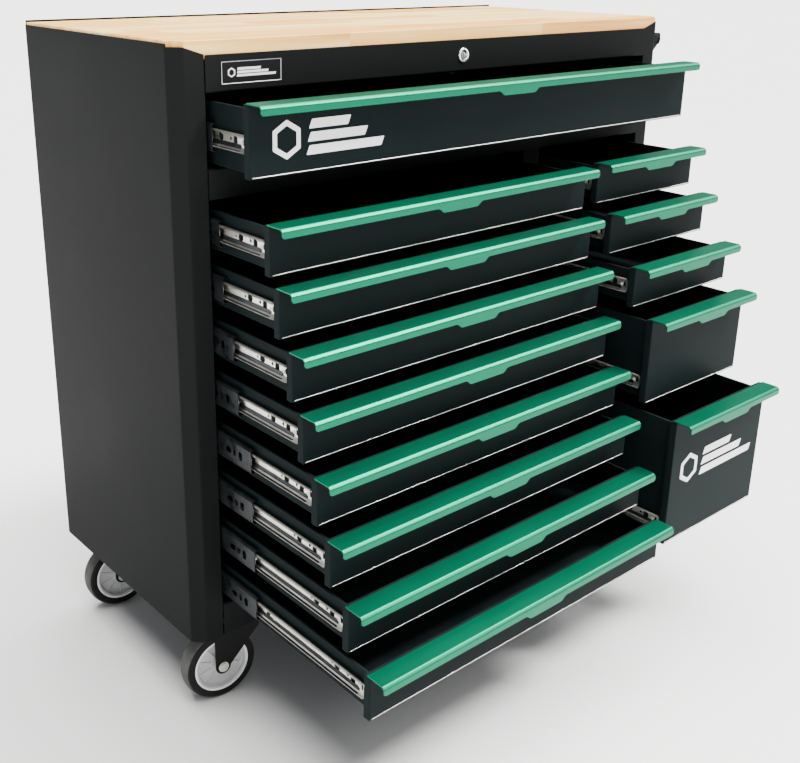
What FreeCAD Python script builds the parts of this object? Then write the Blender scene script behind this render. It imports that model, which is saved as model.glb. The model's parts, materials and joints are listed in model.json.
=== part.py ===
import FreeCAD, Part
import Sketcher
import os

# Rolling tool chest: a sheet-steel cabinet on four casters with fourteen drawers on ball-bearing
# slides, a wooden worktop, a key lock and a push handle on its right side.
# Frame: X to the right across the front, Y to the back, Z up. The origin is the point on the floor
# under the middle of the cabinet. The drawers stand part-way open, each by its own open_ value.
# The box, sketch and placement sizes are expressions on the cells of the sheet "Sizes".

doc = FreeCAD.newDocument("rolling_tool_chest")

X_AXIS = FreeCAD.Vector(1, 0, 0)
Y_AXIS = FreeCAD.Vector(0, 1, 0)
Z_AXIS = FreeCAD.Vector(0, 0, 1)

# --- driving dimensions, millimetres --------------------------------------------------------------

SIZES = [
    # the shell
    ("cabinet_width", 1054), ("cabinet_depth", 442),
    ("sheet_gauge", 1.2), ("corner_bevel", 17), ("post_width", 49), ("post_return", 20),
    ("post_drop", 4), ("notch_run", 26), ("notch_drop", 11), ("rear_flange", 15), ("back_lip", 7),
    ("bottom_rail", 54), ("mid_rail", 40), ("header_height", 48),
    ("pan_gauge", 2), ("pan_wall", 30),
    # the openings: the left column is eight pitches high, the top opening spans both columns
    ("slot_pitch", 80), ("top_opening", 104), ("left_column", 638), ("divider_width", 41),
    # the worktop
    ("wood_thickness", 25), ("wood_rise", 4), ("wood_gap", 0.5),
    # the uprights that carry the slides on the side walls
    ("upright_width", 40), ("upright_rear_gap", 42),
    # the drawers
    ("panel_side_gap", 1.5), ("panel_bottom_gap", 2), ("panel_top_gap", 8), ("top_panel_gap", 4),
    ("panel_gauge", 1.2), ("panel_return", 12), ("tray_gauge", 1), ("tray_lift", 4), ("tray_drop", 9),
    ("tray_rear_gap", 20),
    # the slides: three nested channels
    ("slide_width", 12.7), ("slide_gauge", 1.2), ("slide_play", 0.3),
    ("outer_height", 45), ("middle_height", 38), ("inner_height", 24.6),
    ("outer_inset", 2.2), ("middle_start", 3.2), ("middle_inset", 1.8), ("inner_start", 5.2),
    ("slide_setback", 18), ("slide_rear_gap", 22), ("middle_cut", 40), ("inner_cut", 22),
    ("inner_setback", 20), ("slide_centre", 33), ("top_slide_centre", 43),
    # the pull strips
    ("pull_reach", 28), ("pull_lip", 13), ("pull_gauge", 2), ("pull_bevel", 4), ("pull_seat", 6),
    ("tab_width", 86), ("tab_slant", 8), ("tab_drop", 7),
    # the lock
    ("lock_bezel_radius", 11.5), ("lock_bezel_reach", 3), ("lock_barrel_radius", 9.5),
    ("lock_barrel_length", 22), ("lock_plug_radius", 6), ("lock_play", 0.05), ("lock_hole_play", 0.1),
    ("cam_length", 32), ("cam_width", 12), ("cam_gauge", 2), ("key_slot_width", 1.5),
    ("key_slot_height", 7), ("key_slot_depth", 6),
    # the push handle
    ("handle_radius", 9.5), ("handle_reach", 30), ("bracket_rim", 0.5), ("handle_end_gap", 25),
    ("bracket_width", 14), ("bracket_height", 44), ("bracket_foot", 8), ("bracket_chin", 27),
    ("bracket_drop", 12), ("handle_drop", 31),
    # the casters
    ("caster_inset_side", 98), ("caster_inset_front", 51), ("plate_length", 95),
    ("plate_width", 64), ("plate_gauge", 3), ("bolt_pitch_length", 75), ("bolt_pitch_width", 45),
    ("bolt_radius", 4), ("bolt_play", 0.3), ("bolt_head", 13), ("bolt_head_height", 5),
    ("wheel_radius", 62.5), ("tyre_width", 32), ("tyre_shoulder", 5), ("tyre_tread", 22),
    ("rim_radius", 47.5), ("rim_wall", 4), ("rim_lip_width", 28), ("web_thickness", 8),
    ("hub_radius", 14), ("hub_play", 0.3), ("axle_radius", 6), ("axle_play", 0.05),
    ("axle_head_radius", 9), ("axle_head_height", 5),
    ("fork_gauge", 3), ("tyre_side_gap", 3), ("crown_length", 74), ("rigid_crown_length", 56),
    ("crown_gauge", 4), ("crown_gap", 11), ("leg_shoulder", 22), ("leg_foot_radius", 13),
    ("race_radius", 26), ("race_height", 6.7), ("race_play", 0.3), ("trail", 29),
    ("kingpin_radius", 5), ("kingpin_head_radius", 9), ("kingpin_head_height", 3.5),
    ("swivel_front", -7), ("swivel_rear", -5),
]

# Each drawer: name, column, lowest slot, how many slots high, how far it stands open, and the share
# of that travel which the middle members of its slides have made.
DRAWERS = [
    ("top", "top", 0, 1, 96, 0.25),
    ("left_1", "left", 7, 1, 137, 0.25),
    ("left_2", "left", 6, 1, 156, 0.25),
    ("left_3", "left", 5, 1, 182, 0.34),
    ("left_4", "left", 4, 1, 205, 0.34),
    ("left_5", "left", 3, 1, 234, 0.42),
    ("left_6", "left", 2, 1, 262, 0.38),
    ("left_7", "left", 1, 1, 300, 0.34),
    ("left_8", "left", 0, 1, 345, 0.30),
    ("right_1", "right", 7, 1, 128, 0.25),
    ("right_2", "right", 6, 1, 163, 0.25),
    ("right_3", "right", 5, 1, 220, 0.34),
    ("right_4", "right", 3, 2, 263, 0.34),
    ("right_5", "right", 0, 3, 329, 0.30),
]
COLUMN_SLOTS = 8

# Shares that come from angles: how far a 45-degree bend's inside corner moves for its gauge, half
# a right angle's sine, and a hexagon's corner radius over its flat radius.
BEND_SHARE = 0.4142
DIAGONAL = 0.7071
HEXAGON = 1.1547

sheet = doc.addObject("Spreadsheet::Sheet", "Sizes")
cells = {}


class Size:
    """A length: its text is an expression on the sheet, its value what that comes to."""

    def __init__(self, text, value):
        self.text = text
        self.value = value

    def __add__(self, other):
        other = size_of(other)
        return Size(f"({self.text} + {other.text})", self.value + other.value)

    def __sub__(self, other):
        other = size_of(other)
        return Size(f"({self.text} - {other.text})", self.value - other.value)

    def __rsub__(self, other):
        return size_of(other) - self

    def __mul__(self, factor):
        factor = size_of(factor)
        return Size(f"({self.text} * {factor.text})", self.value * factor.value)

    def __truediv__(self, factor):
        factor = size_of(factor)
        return Size(f"({self.text} / {factor.text})", self.value / factor.value)

    def __neg__(self):
        return Size(f"(-1 * {self.text})", -self.value)


def size_of(number):
    """A plain number as a Size; a Size as it is."""
    return number if isinstance(number, Size) else Size(repr(number), number)


def add_cell(name, value):
    """Write one named number into the sheet's next row."""
    row = len(cells) + 1
    sheet.set(f"A{row}", name)
    sheet.set(f"B{row}", str(value))
    sheet.setAlias(f"B{row}", name)
    cells[name] = Size(f"Sizes.{name}", value)


for cell_name, cell_value in SIZES:
    add_cell(cell_name, cell_value)
for drawer_name, column, slot, slots, opened, share in DRAWERS:
    add_cell("open_" + drawer_name, opened)
    add_cell("share_" + drawer_name, share)
doc.recompute()

# --- builders -------------------------------------------------------------------------------------


def box(name, along_x, along_y, along_z):
    """A block between the two sizes given for each direction."""
    piece = doc.addObject("Part::Box", name)
    spans = (("Length", "x", along_x), ("Width", "y", along_y), ("Height", "z", along_z))
    for side, letter, (low, high) in spans:
        low, high = size_of(low), size_of(high)
        piece.setExpression(side, (high - low).text)
        piece.setExpression(f".Placement.Base.{letter}", low.text)
    return piece


def place(piece, corner):
    """Bind a piece's position to three sizes."""
    for letter, size in zip("xyz", corner):
        piece.setExpression(f".Placement.Base.{letter}", size_of(size).text)


def cylinder(name, radius, length, start, axis=FreeCAD.Vector(0, 0, 1)):
    """A round bar from start along axis."""
    piece = doc.addObject("Part::Cylinder", name)
    piece.setExpression("Radius", size_of(radius).text)
    piece.setExpression("Height", size_of(length).text)
    piece.Placement = FreeCAD.Placement(FreeCAD.Vector(), FreeCAD.Rotation(Z_AXIS, axis))
    place(piece, start)
    return piece


def cut(name, base, tool):
    piece = doc.addObject("Part::Cut", name)
    piece.Base, piece.Tool = base, tool
    return piece


def fuse(name, pieces):
    """One solid out of several; a single piece stays as it is."""
    if len(pieces) == 1:
        return pieces[0]
    piece = doc.addObject("Part::MultiFuse", name)
    piece.Shapes = pieces
    piece.Refine = True
    return piece


def group(name, pieces):
    """Several separate solids that share one node."""
    piece = doc.addObject("Part::Compound", name)
    piece.Links = pieces
    return piece


def mirror(name, source):
    """The same piece on the other side of the cabinet's middle plane."""
    piece = doc.addObject("Part::Mirroring", name)
    piece.Source = source
    piece.Base = FreeCAD.Vector(0, 0, 0)
    piece.Normal = X_AXIS
    return piece


def outline(body, role, points):
    """A closed sketch of straight lines on one of the body's origin planes, every corner bound."""
    sketch = body.newObject("Sketcher::SketchObject", body.Name + "_outline")
    plane = [p for p in body.Origin.OriginFeatures if p.Role == role][0]
    sketch.AttachmentSupport = [(plane, "")]
    sketch.MapMode = "FlatFace"
    corners = [(size_of(across), size_of(up)) for across, up in points]
    spots = [FreeCAD.Vector(across.value, up.value, 0) for across, up in corners]
    lines = [Part.LineSegment(a, b) for a, b in zip(spots, spots[1:] + spots[:1])]
    sketch.addGeometry(lines, False)
    for number in range(len(lines)):
        following = (number + 1) % len(lines)
        sketch.addConstraint(Sketcher.Constraint("Coincident", number, 2, following, 1))
    for number, corner in enumerate(corners):
        for kind, axis_line, size in (("DistanceX", -2, corner[0]), ("DistanceY", -1, corner[1])):
            if size.text == "0":
                sketch.addConstraint(Sketcher.Constraint("PointOnObject", number, 1, axis_line))
            else:
                bound = sketch.addConstraint(
                    Sketcher.Constraint(kind, -1, 1, number, 1, size.value))
                sketch.setExpression(f"Constraints[{bound}]", size.text)
    return sketch


def padded(name, role, points, length, corner):
    """An outline given thickness: the XY plane grows up, XZ to the back, YZ to the right."""
    body = doc.addObject("PartDesign::Body", name)
    sketch = outline(body, role, points)
    pad = body.newObject("PartDesign::Pad", name + "_pad")
    pad.Profile = sketch
    pad.setExpression("Length", size_of(length).text)
    pad.Reversed = role == "XZ_Plane"
    sketch.Visibility = False
    place(body, corner)
    return body


def turned_ring(name, points):
    """A (radius, width) outline spun about the Y axis."""
    body = doc.addObject("PartDesign::Body", name)
    sketch = outline(body, "XY_Plane", points)
    spin = body.newObject("PartDesign::Revolution", name + "_spin")
    spin.Profile = sketch
    spin.ReferenceAxis = (sketch, ["V_Axis"])
    spin.Angle = 360
    return body


nodes = []


def node(piece, label):
    """Name a finished sub-part: its label is also its file's name."""
    piece.Label = label
    nodes.append(piece)
    return piece


# --- places worked out from the driving dimensions ------------------------------------------------

gauge = cells["sheet_gauge"]
half_width = cells["cabinet_width"] / 2
front = -cells["cabinet_depth"] / 2
back = cells["cabinet_depth"] / 2
wall = half_width - gauge
post_edge = half_width - cells["post_width"]
rail_back = front + cells["post_return"]

crown_bottom = cells["wheel_radius"] * 2 + cells["crown_gap"]
race_top = crown_bottom + cells["crown_gauge"] + cells["race_height"]
plate_bottom = race_top + cells["race_play"]
base = plate_bottom + cells["plate_gauge"]
columns_bottom = base + cells["bottom_rail"]
columns_top = columns_bottom + cells["slot_pitch"] * COLUMN_SLOTS
top_bottom = columns_top + cells["mid_rail"]
header_bottom = top_bottom + cells["top_opening"]
header_top = header_bottom + cells["header_height"]
post_top = header_top + cells["notch_drop"]
side_top = post_top + cells["post_drop"]
wood_top = side_top + cells["wood_rise"]
deck_top = wood_top - cells["wood_thickness"]
back_inside = back - gauge * 2

divider_left = cells["left_column"] - post_edge
divider_right = divider_left + cells["divider_width"]

# --- shell ----------------------------------------------------------------------------------------


def side_panel():
    """One folded sheet: rear flange, side wall, bevelled corner, front post and inward return.

    Its plan is drawn from the outside corner, then the front post is cut down to the header's top
    with a slanted notch.
    """
    bevel, post, depth = cells["corner_bevel"], cells["post_width"], cells["cabinet_depth"]
    bevel_inside = bevel + gauge * BEND_SHARE
    plan = [
        (0, bevel), (bevel, 0), (post, 0), (post, cells["post_return"]),
        (post - gauge, cells["post_return"]), (post - gauge, gauge), (bevel_inside, gauge),
        (gauge, bevel_inside), (gauge, depth - gauge), (cells["rear_flange"], depth - gauge),
        (cells["rear_flange"], depth), (0, depth),
    ]
    sheet_piece = padded("side_sheet", "XY_Plane", plan, side_top - base, (-half_width, front, base))
    margin = 1
    above = cells["post_drop"] + cells["notch_drop"] + margin
    notch_end = bevel + cells["notch_run"]
    notch = [
        (-gauge, cells["notch_drop"]), (bevel, cells["notch_drop"]), (notch_end, 0),
        (post + margin, 0), (post + margin, above), (-gauge, above),
    ]
    front_cut = padded("front_notch", "XZ_Plane", notch, bevel + margin,
                       (-half_width, front - margin, header_top))
    return_cut = box("return_notch", (-post_edge - gauge, margin - post_edge),
                     (front + gauge, rail_back + margin), (deck_top - gauge, side_top + margin))
    return cut("side_panel_left", cut("side_with_notch", sheet_piece, front_cut), return_cut)


def rail(name, bottom, height, top_return):
    """A channel across the front, between the posts, open to the back."""
    deep = cells["post_return"]
    section = [(0, 0), (deep, 0), (deep, gauge), (gauge, gauge)]
    if top_return:
        section += [(gauge, height - gauge), (deep, height - gauge), (deep, height), (0, height)]
    else:
        section += [(gauge, height), (0, height)]
    return padded(name, "YZ_Plane", section, post_edge * 2, (-post_edge, front, bottom))


def worktop_plan(gap):
    """The shell's inside in plan, with its bevelled front corners, drawn from the middle front."""
    side = wall - gap
    corner = cells["corner_bevel"] + gap
    depth = back_inside - front - gauge - gap * 2
    return [(-side, corner), (corner - side, 0), (side - corner, 0), (side, corner),
            (side, depth), (-side, depth)]


def upright(name, rear):
    """A vertical channel between a side wall and the plane of the slides."""
    near = back_inside - cells["upright_rear_gap"] - cells["upright_width"] if rear else rail_back
    spread = cells["post_width"] - gauge
    plan = [
        (0, 0), (spread, 0), (spread, cells["upright_width"]), (0, cells["upright_width"]),
        (0, cells["upright_width"] - gauge), (spread - gauge, cells["upright_width"] - gauge),
        (spread - gauge, gauge), (0, gauge),
    ]
    bottom = base + cells["pan_gauge"]
    return padded(name, "XY_Plane", plan, deck_top - gauge - bottom, (-wall, near, bottom))


def shell():
    """The root body's sheet metal and the worktop."""
    left = side_panel()
    node(group("side_pair", [left, mirror("side_panel_right", left)]), "side_panels")

    node(box("back_sheet", (-wall, wall), (back - gauge * 2, back - gauge),
             (base, side_top + cells["back_lip"])), "back_panel")

    floor_top, wall_top = base + cells["pan_gauge"], base + cells["pan_wall"]
    pan_depth = back_inside - rail_back
    section = [(0, 0), (pan_depth, 0), (pan_depth, cells["pan_wall"]),
               (pan_depth - gauge, cells["pan_wall"]), (pan_depth - gauge, cells["pan_gauge"]),
               (0, cells["pan_gauge"])]
    pan = padded("pan_folded", "YZ_Plane", section, wall * 2, (-wall, rail_back, base))
    divider_slot = box("pan_slot", (divider_left, divider_right), (back_inside - gauge * 2,
                       back_inside + 1), (floor_top, wall_top + 1))
    node(cut("pan_with_bolt_holes", pan, fuse("pan_cuts", [divider_slot] + bolt_holes("pan_hole"))),
         "base_pan")

    lock_hole = cylinder("lock_hole", cells["lock_barrel_radius"] + cells["lock_hole_play"], gauge * 4,
                         (0, front - gauge, lock_height), Y_AXIS)
    header = cut("header", rail("header_channel", header_bottom, cells["header_height"], False),
                 lock_hole)
    node(group("rail_set", [
        header,
        rail("mid_rail_channel", columns_top, cells["mid_rail"], True),
        rail("bottom_rail_channel", base, cells["bottom_rail"], True),
    ]), "front_rails")

    thick = cells["divider_width"]
    depth = back_inside - front
    plan = [(0, 0), (thick, 0), (thick, depth), (thick - gauge, depth), (thick - gauge, gauge),
            (gauge, gauge), (gauge, depth), (0, depth)]
    divider = padded("divider_folded", "XY_Plane", plan, columns_top - floor_top,
                     (divider_left, front, floor_top))
    rail_space = box("divider_foot", (divider_left - 1, divider_right + 1), (front - 1, rail_back),
                     (floor_top - 1, columns_bottom))
    node(cut("divider", divider, rail_space), "centre_divider")

    node(padded("deck_sheet", "XY_Plane", worktop_plan(0), gauge, (0, front + gauge, deck_top - gauge)),
         "top_deck")
    node(padded("wood_slab", "XY_Plane", worktop_plan(cells["wood_gap"]), cells["wood_thickness"],
                (0, front + gauge + cells["wood_gap"], deck_top)), "worktop")


# --- drawers and slides ---------------------------------------------------------------------------


def channel_outline(start, reach, height, lip):
    """Half of a slide member's section, mirrored: a web at start, flanges to reach, lips inward.

    Across is the distance from the wall; up is measured from the member's lower edge.
    """
    metal = cells["slide_gauge"]
    return [
        (start, 0), (reach, 0), (reach, lip), (reach - metal, lip), (reach - metal, metal),
        (start + metal, metal), (start + metal, height - metal), (reach - metal, height - metal),
        (reach - metal, height - lip), (reach, height - lip), (reach, height), (start, height),
    ]


def slide_member(name, kind, wall_x, side, near, length, centre):
    """One member of a slide; side is 1 where the drawer lies to the right of the wall."""
    metal, play = cells["slide_gauge"], cells["slide_play"]
    if kind == "outer":
        height = cells["outer_height"]
        lip = (height - cells["middle_height"]) / 2 - play
        reach = cells["slide_width"] - cells["outer_inset"]
        points = channel_outline(size_of(0), reach, height, lip)
    elif kind == "middle":
        height = cells["middle_height"]
        lip = (height - cells["inner_height"]) / 2 - play
        reach = cells["slide_width"] - cells["middle_inset"]
        points = channel_outline(cells["middle_start"], reach, height, lip)
    else:
        height, start, reach = cells["inner_height"], cells["inner_start"], cells["slide_width"]
        points = [(start, 0), (reach, 0), (reach, height), (start, height), (start, height - metal),
                  (reach - metal, height - metal), (reach - metal, metal), (start, metal)]
    if side < 0:
        points = [(-size_of(across), up) for across, up in points]
    points = [(size_of(across), size_of(up)) for across, up in points]
    return padded(name, "XZ_Plane", points, length, (wall_x, near, centre - height / 2))


def pull_strip(name, left, right, face, top):
    """The pull: a flange over the panel's top edge, a bevelled edge, a lip and a centre tab."""
    metal, bevel, lip = cells["pull_gauge"], cells["pull_bevel"], cells["pull_lip"]
    deep = cells["pull_reach"] + cells["pull_seat"]
    bevel_inside = bevel + metal * BEND_SHARE
    section = [
        (0, 0), (metal, 0), (metal, lip - bevel_inside), (bevel_inside, lip - metal),
        (deep, lip - metal), (deep, lip), (bevel, lip), (0, lip - bevel),
    ]
    nose = face - cells["pull_reach"]
    strip = padded(name + "_strip", "YZ_Plane", section, right - left, (left, nose, top - lip))
    drop, slant, wide = cells["tab_drop"], cells["tab_slant"], cells["tab_width"]
    tab_points = [(slant, 0), (wide - slant, 0), (wide, drop), (0, drop)]
    tab = padded(name + "_tab", "XZ_Plane", tab_points, metal,
                 ((left + right) / 2 - wide / 2, nose, top - lip - drop))
    return fuse(name, [strip, tab])


def drawer_spans(column):
    """The opening's left and right edge."""
    if column == "left":
        return -post_edge, divider_left
    if column == "right":
        return divider_right, post_edge
    return -post_edge, post_edge


def drawer_heights(column, slot, slots):
    """The front panel's bottom and top and the middle height of its slides."""
    if column == "top":
        bottom = top_bottom + cells["panel_bottom_gap"]
        return bottom, header_bottom - cells["top_panel_gap"], bottom + cells["top_slide_centre"]
    bottom = columns_bottom + cells["slot_pitch"] * slot + cells["panel_bottom_gap"]
    top = columns_bottom + cells["slot_pitch"] * (slot + slots) - cells["panel_top_gap"]
    return bottom, top, bottom + cells["slide_centre"]


slide_near = front + cells["slide_setback"]
slide_length = back_inside - cells["slide_rear_gap"] - slide_near


def drawer(name, column, slot, slots):
    """One drawer: tray, front panel and inner slide members, its pull, and the middle members."""
    left, right = drawer_spans(column)
    bottom, top, centre = drawer_heights(column, slot, slots)
    opened = cells["open_" + name]
    face = front - opened
    sides = ((left, 1), (right, -1))

    metal, deep = cells["panel_gauge"], cells["panel_return"]
    panel_left, panel_right = left + cells["panel_side_gap"], right - cells["panel_side_gap"]
    panel_top = top - cells["pull_gauge"]
    panel = cut(name + "_panel",
                box(name + "_panel_block", (panel_left, panel_right), (face, face + deep),
                    (bottom, panel_top)),
                box(name + "_panel_hollow", (panel_left + metal, panel_right - metal),
                    (face + metal, face + deep + 1), (bottom + metal, panel_top - metal)))

    thin, slide = cells["tray_gauge"], cells["slide_width"]
    tray_left, tray_right = left + slide, right - slide
    tray_near = face + metal
    tray_far = back_inside - cells["tray_rear_gap"] - opened
    tray_floor, tray_top = bottom + cells["tray_lift"], top - cells["tray_drop"]
    tray = cut(name + "_tray",
               box(name + "_tray_block", (tray_left, tray_right), (tray_near, tray_far),
                   (tray_floor, tray_top)),
               box(name + "_tray_hollow", (tray_left + thin, tray_right - thin),
                   (tray_near + thin, tray_far - thin), (tray_floor + thin, tray_top + 1)))

    inner_near = face + cells["inner_setback"]
    inners = [slide_member(f"{name}_inner_{end}", "inner", edge, side, inner_near,
                           slide_length - cells["inner_cut"], centre)
              for end, (edge, side) in zip(("a", "b"), sides)]
    node(group("drawer_set_" + name, [tray, panel] + inners), "drawer_" + name)

    node(pull_strip("pull_shape_" + name, panel_left, panel_right, face, top), "pull_" + name)

    middle_near = slide_near - opened * cells["share_" + name]
    middles = [slide_member(f"{name}_middle_{end}", "middle", edge, side, middle_near,
                            slide_length - cells["middle_cut"], centre)
               for end, (edge, side) in zip(("a", "b"), sides)]
    node(group("middle_pair_" + name, middles), "slide_middle_" + name)

    return [slide_member(f"{name}_outer_{end}", "outer", edge, side, slide_near, slide_length, centre)
            for end, (edge, side) in zip(("a", "b"), sides)]


def slides_and_drawers():
    """All fourteen drawers; the outer members and the uprights that carry them are one node."""
    fixed = []
    for name, column, slot, slots, opened, share in DRAWERS:
        fixed += drawer(name, column, slot, slots)
    for place_name, rear in (("front", False), ("rear", True)):
        left = upright("upright_left_" + place_name, rear)
        fixed += [left, mirror("upright_right_" + place_name, left)]
    node(group("rail_and_upright_set", fixed), "slide_rails")


# --- lock -----------------------------------------------------------------------------------------

lock_height = (header_bottom + header_top) / 2


def lock():
    """The cylinder lock in the header: a housing, and the plug with its cam that turns in it."""
    plug_bore = cells["lock_plug_radius"] + cells["lock_play"]
    reach, length = cells["lock_bezel_reach"], cells["lock_barrel_length"]
    start = (0, front - reach, lock_height)
    housing = fuse("lock_body", [
        cylinder("lock_bezel", cells["lock_bezel_radius"], reach, start, Y_AXIS),
        cylinder("lock_barrel", cells["lock_barrel_radius"], length + reach, start, Y_AXIS),
    ])
    bore = cylinder("lock_bore", plug_bore, length + reach * 3, (0, front - reach * 2, lock_height),
                    Y_AXIS)
    node(cut("lock_housing_shape", housing, bore), "lock_housing")

    half_slot, half_tall = cells["key_slot_width"] / 2, cells["key_slot_height"] / 2
    cam_near = front + length + cells["slide_play"]
    turning = fuse("plug_and_cam", [
        cylinder("plug_barrel", cells["lock_plug_radius"],
                 length + reach + cells["slide_play"] + cells["cam_gauge"], start, Y_AXIS),
        box("cam_bar", (-cells["cam_width"] / 2, cells["cam_width"] / 2),
            (cam_near, cam_near + cells["cam_gauge"]),
            (lock_height - cells["cam_length"], lock_height + cells["cam_width"] / 2)),
    ])
    slot = box("key_slot", (-half_slot, half_slot),
               (front - reach - 1, front - reach + cells["key_slot_depth"]),
               (lock_height - half_tall, lock_height + half_tall))
    node(cut("lock_plug_shape", turning, slot), "lock_plug")


# --- push handle ----------------------------------------------------------------------------------


def push_handle():
    """A round bar from front to back between two brackets that lean out from the right side."""
    tall, foot = cells["bracket_height"], cells["bracket_foot"]
    reach = cells["handle_reach"] + cells["handle_radius"] + cells["bracket_rim"]
    profile = [(0, 0), (foot, 0), (reach, cells["bracket_chin"]), (reach, tall), (0, tall)]
    top = header_top - cells["bracket_drop"]
    wide = cells["bracket_width"]
    near = front + cells["handle_end_gap"]
    far = back - cells["handle_end_gap"]
    pieces = [
        padded("handle_bracket_front", "XZ_Plane", profile, wide, (half_width, near, top - tall)),
        padded("handle_bracket_rear", "XZ_Plane", profile, wide, (half_width, far - wide, top - tall)),
        cylinder("handle_bar", cells["handle_radius"], far - near - wide * 2,
                 (half_width + cells["handle_reach"], near + wide,
                  top - tall + cells["handle_drop"]), Y_AXIS),
    ]
    node(group("handle_set", pieces), "push_handle")


# --- casters --------------------------------------------------------------------------------------

caster_x = half_width - cells["caster_inset_side"]
caster_y = back - cells["caster_inset_front"]
CORNERS = [
    ("front_left", -1, -1, "swivel_front"), ("rear_left", -1, 1, "swivel_rear"),
    ("front_right", 1, -1, None), ("rear_right", 1, 1, None),
]
fork_half = cells["tyre_width"] / 2 + cells["tyre_side_gap"]


def bolt_places():
    """The four bolt positions on each of the four caster plates."""
    for corner, side, end, swivel in CORNERS:
        for row in (-1, 1):
            for line in (-1, 1):
                yield (caster_x * side + cells["bolt_pitch_length"] * row / 2,
                       caster_y * end + cells["bolt_pitch_width"] * line / 2)


def bolt_holes(name):
    """Cylinders that cut the bolts' holes through a plate and the pan above it."""
    radius = cells["bolt_radius"] + cells["bolt_play"]
    return [cylinder(f"{name}_{number}", radius, cells["plate_gauge"] + cells["pan_gauge"] + 2,
                     (across, along, plate_bottom - 1))
            for number, (across, along) in enumerate(bolt_places())]


def caster_bolt(number, across, along):
    """A hex bolt from below, through plate and pan, with its nut inside the cabinet."""
    head, thick = cells["bolt_head"], cells["bolt_head_height"]
    grip = cells["plate_gauge"] + cells["pan_gauge"]
    ends = []
    for part_name, bottom in (("head", plate_bottom - thick), ("nut", plate_bottom + grip)):
        prism = doc.addObject("Part::Prism", f"bolt_{part_name}_{number}")
        prism.Polygon = 6
        prism.setExpression("Circumradius", (head / 2 * HEXAGON).text)
        prism.setExpression("Height", thick.text)
        place(prism, (across, along, bottom))
        ends.append(prism)
    shank = cylinder(f"bolt_shank_{number}", cells["bolt_radius"], grip + thick * 2,
                     (across, along, plate_bottom - thick))
    return fuse(f"bolt_{number}", ends + [shank])


def leg_outline(axle_x, crown_left, crown_right, top):
    """A fork leg from the side: wide at the crown, narrow round the axle."""
    foot, axle = cells["leg_foot_radius"], cells["wheel_radius"]
    return [
        (axle_x - foot, axle), (axle_x - foot * DIAGONAL, axle - foot * DIAGONAL), (axle_x, axle - foot),
        (axle_x + foot * DIAGONAL, axle - foot * DIAGONAL), (axle_x + foot, axle),
        (crown_right, crown_bottom - cells["leg_shoulder"]), (crown_right, top), (crown_left, top),
        (crown_left, crown_bottom - cells["leg_shoulder"]),
    ]


def fork(name, axle_x, crown_left, crown_right, crown_top, holes):
    """Crown and two legs about the kingpin's axis at the origin, with the axle bolt through them."""
    metal = cells["fork_gauge"]
    points = leg_outline(axle_x, crown_left, crown_right, crown_top)
    points = [(size_of(across), size_of(up)) for across, up in points]
    legs = [padded(f"{name}_leg_{end}", "XZ_Plane", points, metal, (0, near, 0))
            for end, near in (("near", -fork_half - metal), ("far", fork_half))]
    crown = box(name + "_crown", (crown_left, crown_right), (-fork_half, fork_half),
                (crown_top - cells["crown_gauge"], crown_top))
    bracket = fuse(name + "_bracket", legs + [crown] + holes[0])
    axle_start = -fork_half - metal - cells["axle_head_height"]
    axle_hole = cylinder(name + "_axle_hole", cells["axle_radius"], -axle_start * 2,
                         (axle_x, axle_start, cells["wheel_radius"]), Y_AXIS)
    bracket = cut(name + "_drilled", bracket, fuse(name + "_drills", [axle_hole] + holes[1]))
    head = cells["axle_head_height"]
    bolt = fuse(name + "_axle_bolt", [
        cylinder(name + "_axle", cells["axle_radius"], -axle_start * 2,
                 (axle_x, axle_start, cells["wheel_radius"]), Y_AXIS),
        cylinder(name + "_axle_head", cells["axle_head_radius"], head,
                 (axle_x, axle_start, cells["wheel_radius"]), Y_AXIS),
        cylinder(name + "_axle_nut", cells["axle_head_radius"], head,
                 (axle_x, fork_half + metal, cells["wheel_radius"]), Y_AXIS),
    ])
    return group(name + "_set", [bracket, bolt])


def wheel(name):
    """Rubber tyre on a moulded core, spun about the Y axis through the origin."""
    half_tyre, half_tread = cells["tyre_width"] / 2, cells["tyre_tread"] / 2
    rim, radius = cells["rim_radius"], cells["wheel_radius"]
    tyre = turned_ring(name + "_tyre", [
        (rim, -half_tyre), (radius - cells["tyre_shoulder"], -half_tyre), (radius, -half_tread),
        (radius, half_tread), (radius - cells["tyre_shoulder"], half_tyre), (rim, half_tyre),
    ])
    bore = cells["axle_radius"] + cells["axle_play"]
    hub_half, web_half = fork_half - cells["hub_play"], cells["web_thickness"] / 2
    rim_in, lip_half = rim - cells["rim_wall"], cells["rim_lip_width"] / 2
    core = turned_ring(name + "_core", [
        (bore, -hub_half), (cells["hub_radius"], -hub_half), (cells["hub_radius"], -web_half),
        (rim_in, -web_half), (rim_in, -lip_half), (rim, -lip_half), (rim, lip_half),
        (rim_in, lip_half), (rim_in, web_half), (cells["hub_radius"], web_half),
        (cells["hub_radius"], hub_half), (bore, hub_half),
    ])
    return group(name + "_pieces", [tyre, core])


def set_down(piece, across, along, height, swivel):
    """Stand a piece modelled about the kingpin at its corner, turned by the swivel's angle."""
    piece.Placement = FreeCAD.Placement(FreeCAD.Vector(), FreeCAD.Rotation(Z_AXIS, 0))
    place(piece, (across, along, height))
    if swivel:
        piece.setExpression(".Placement.Rotation.Angle", cells[swivel].text)
    return piece


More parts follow.
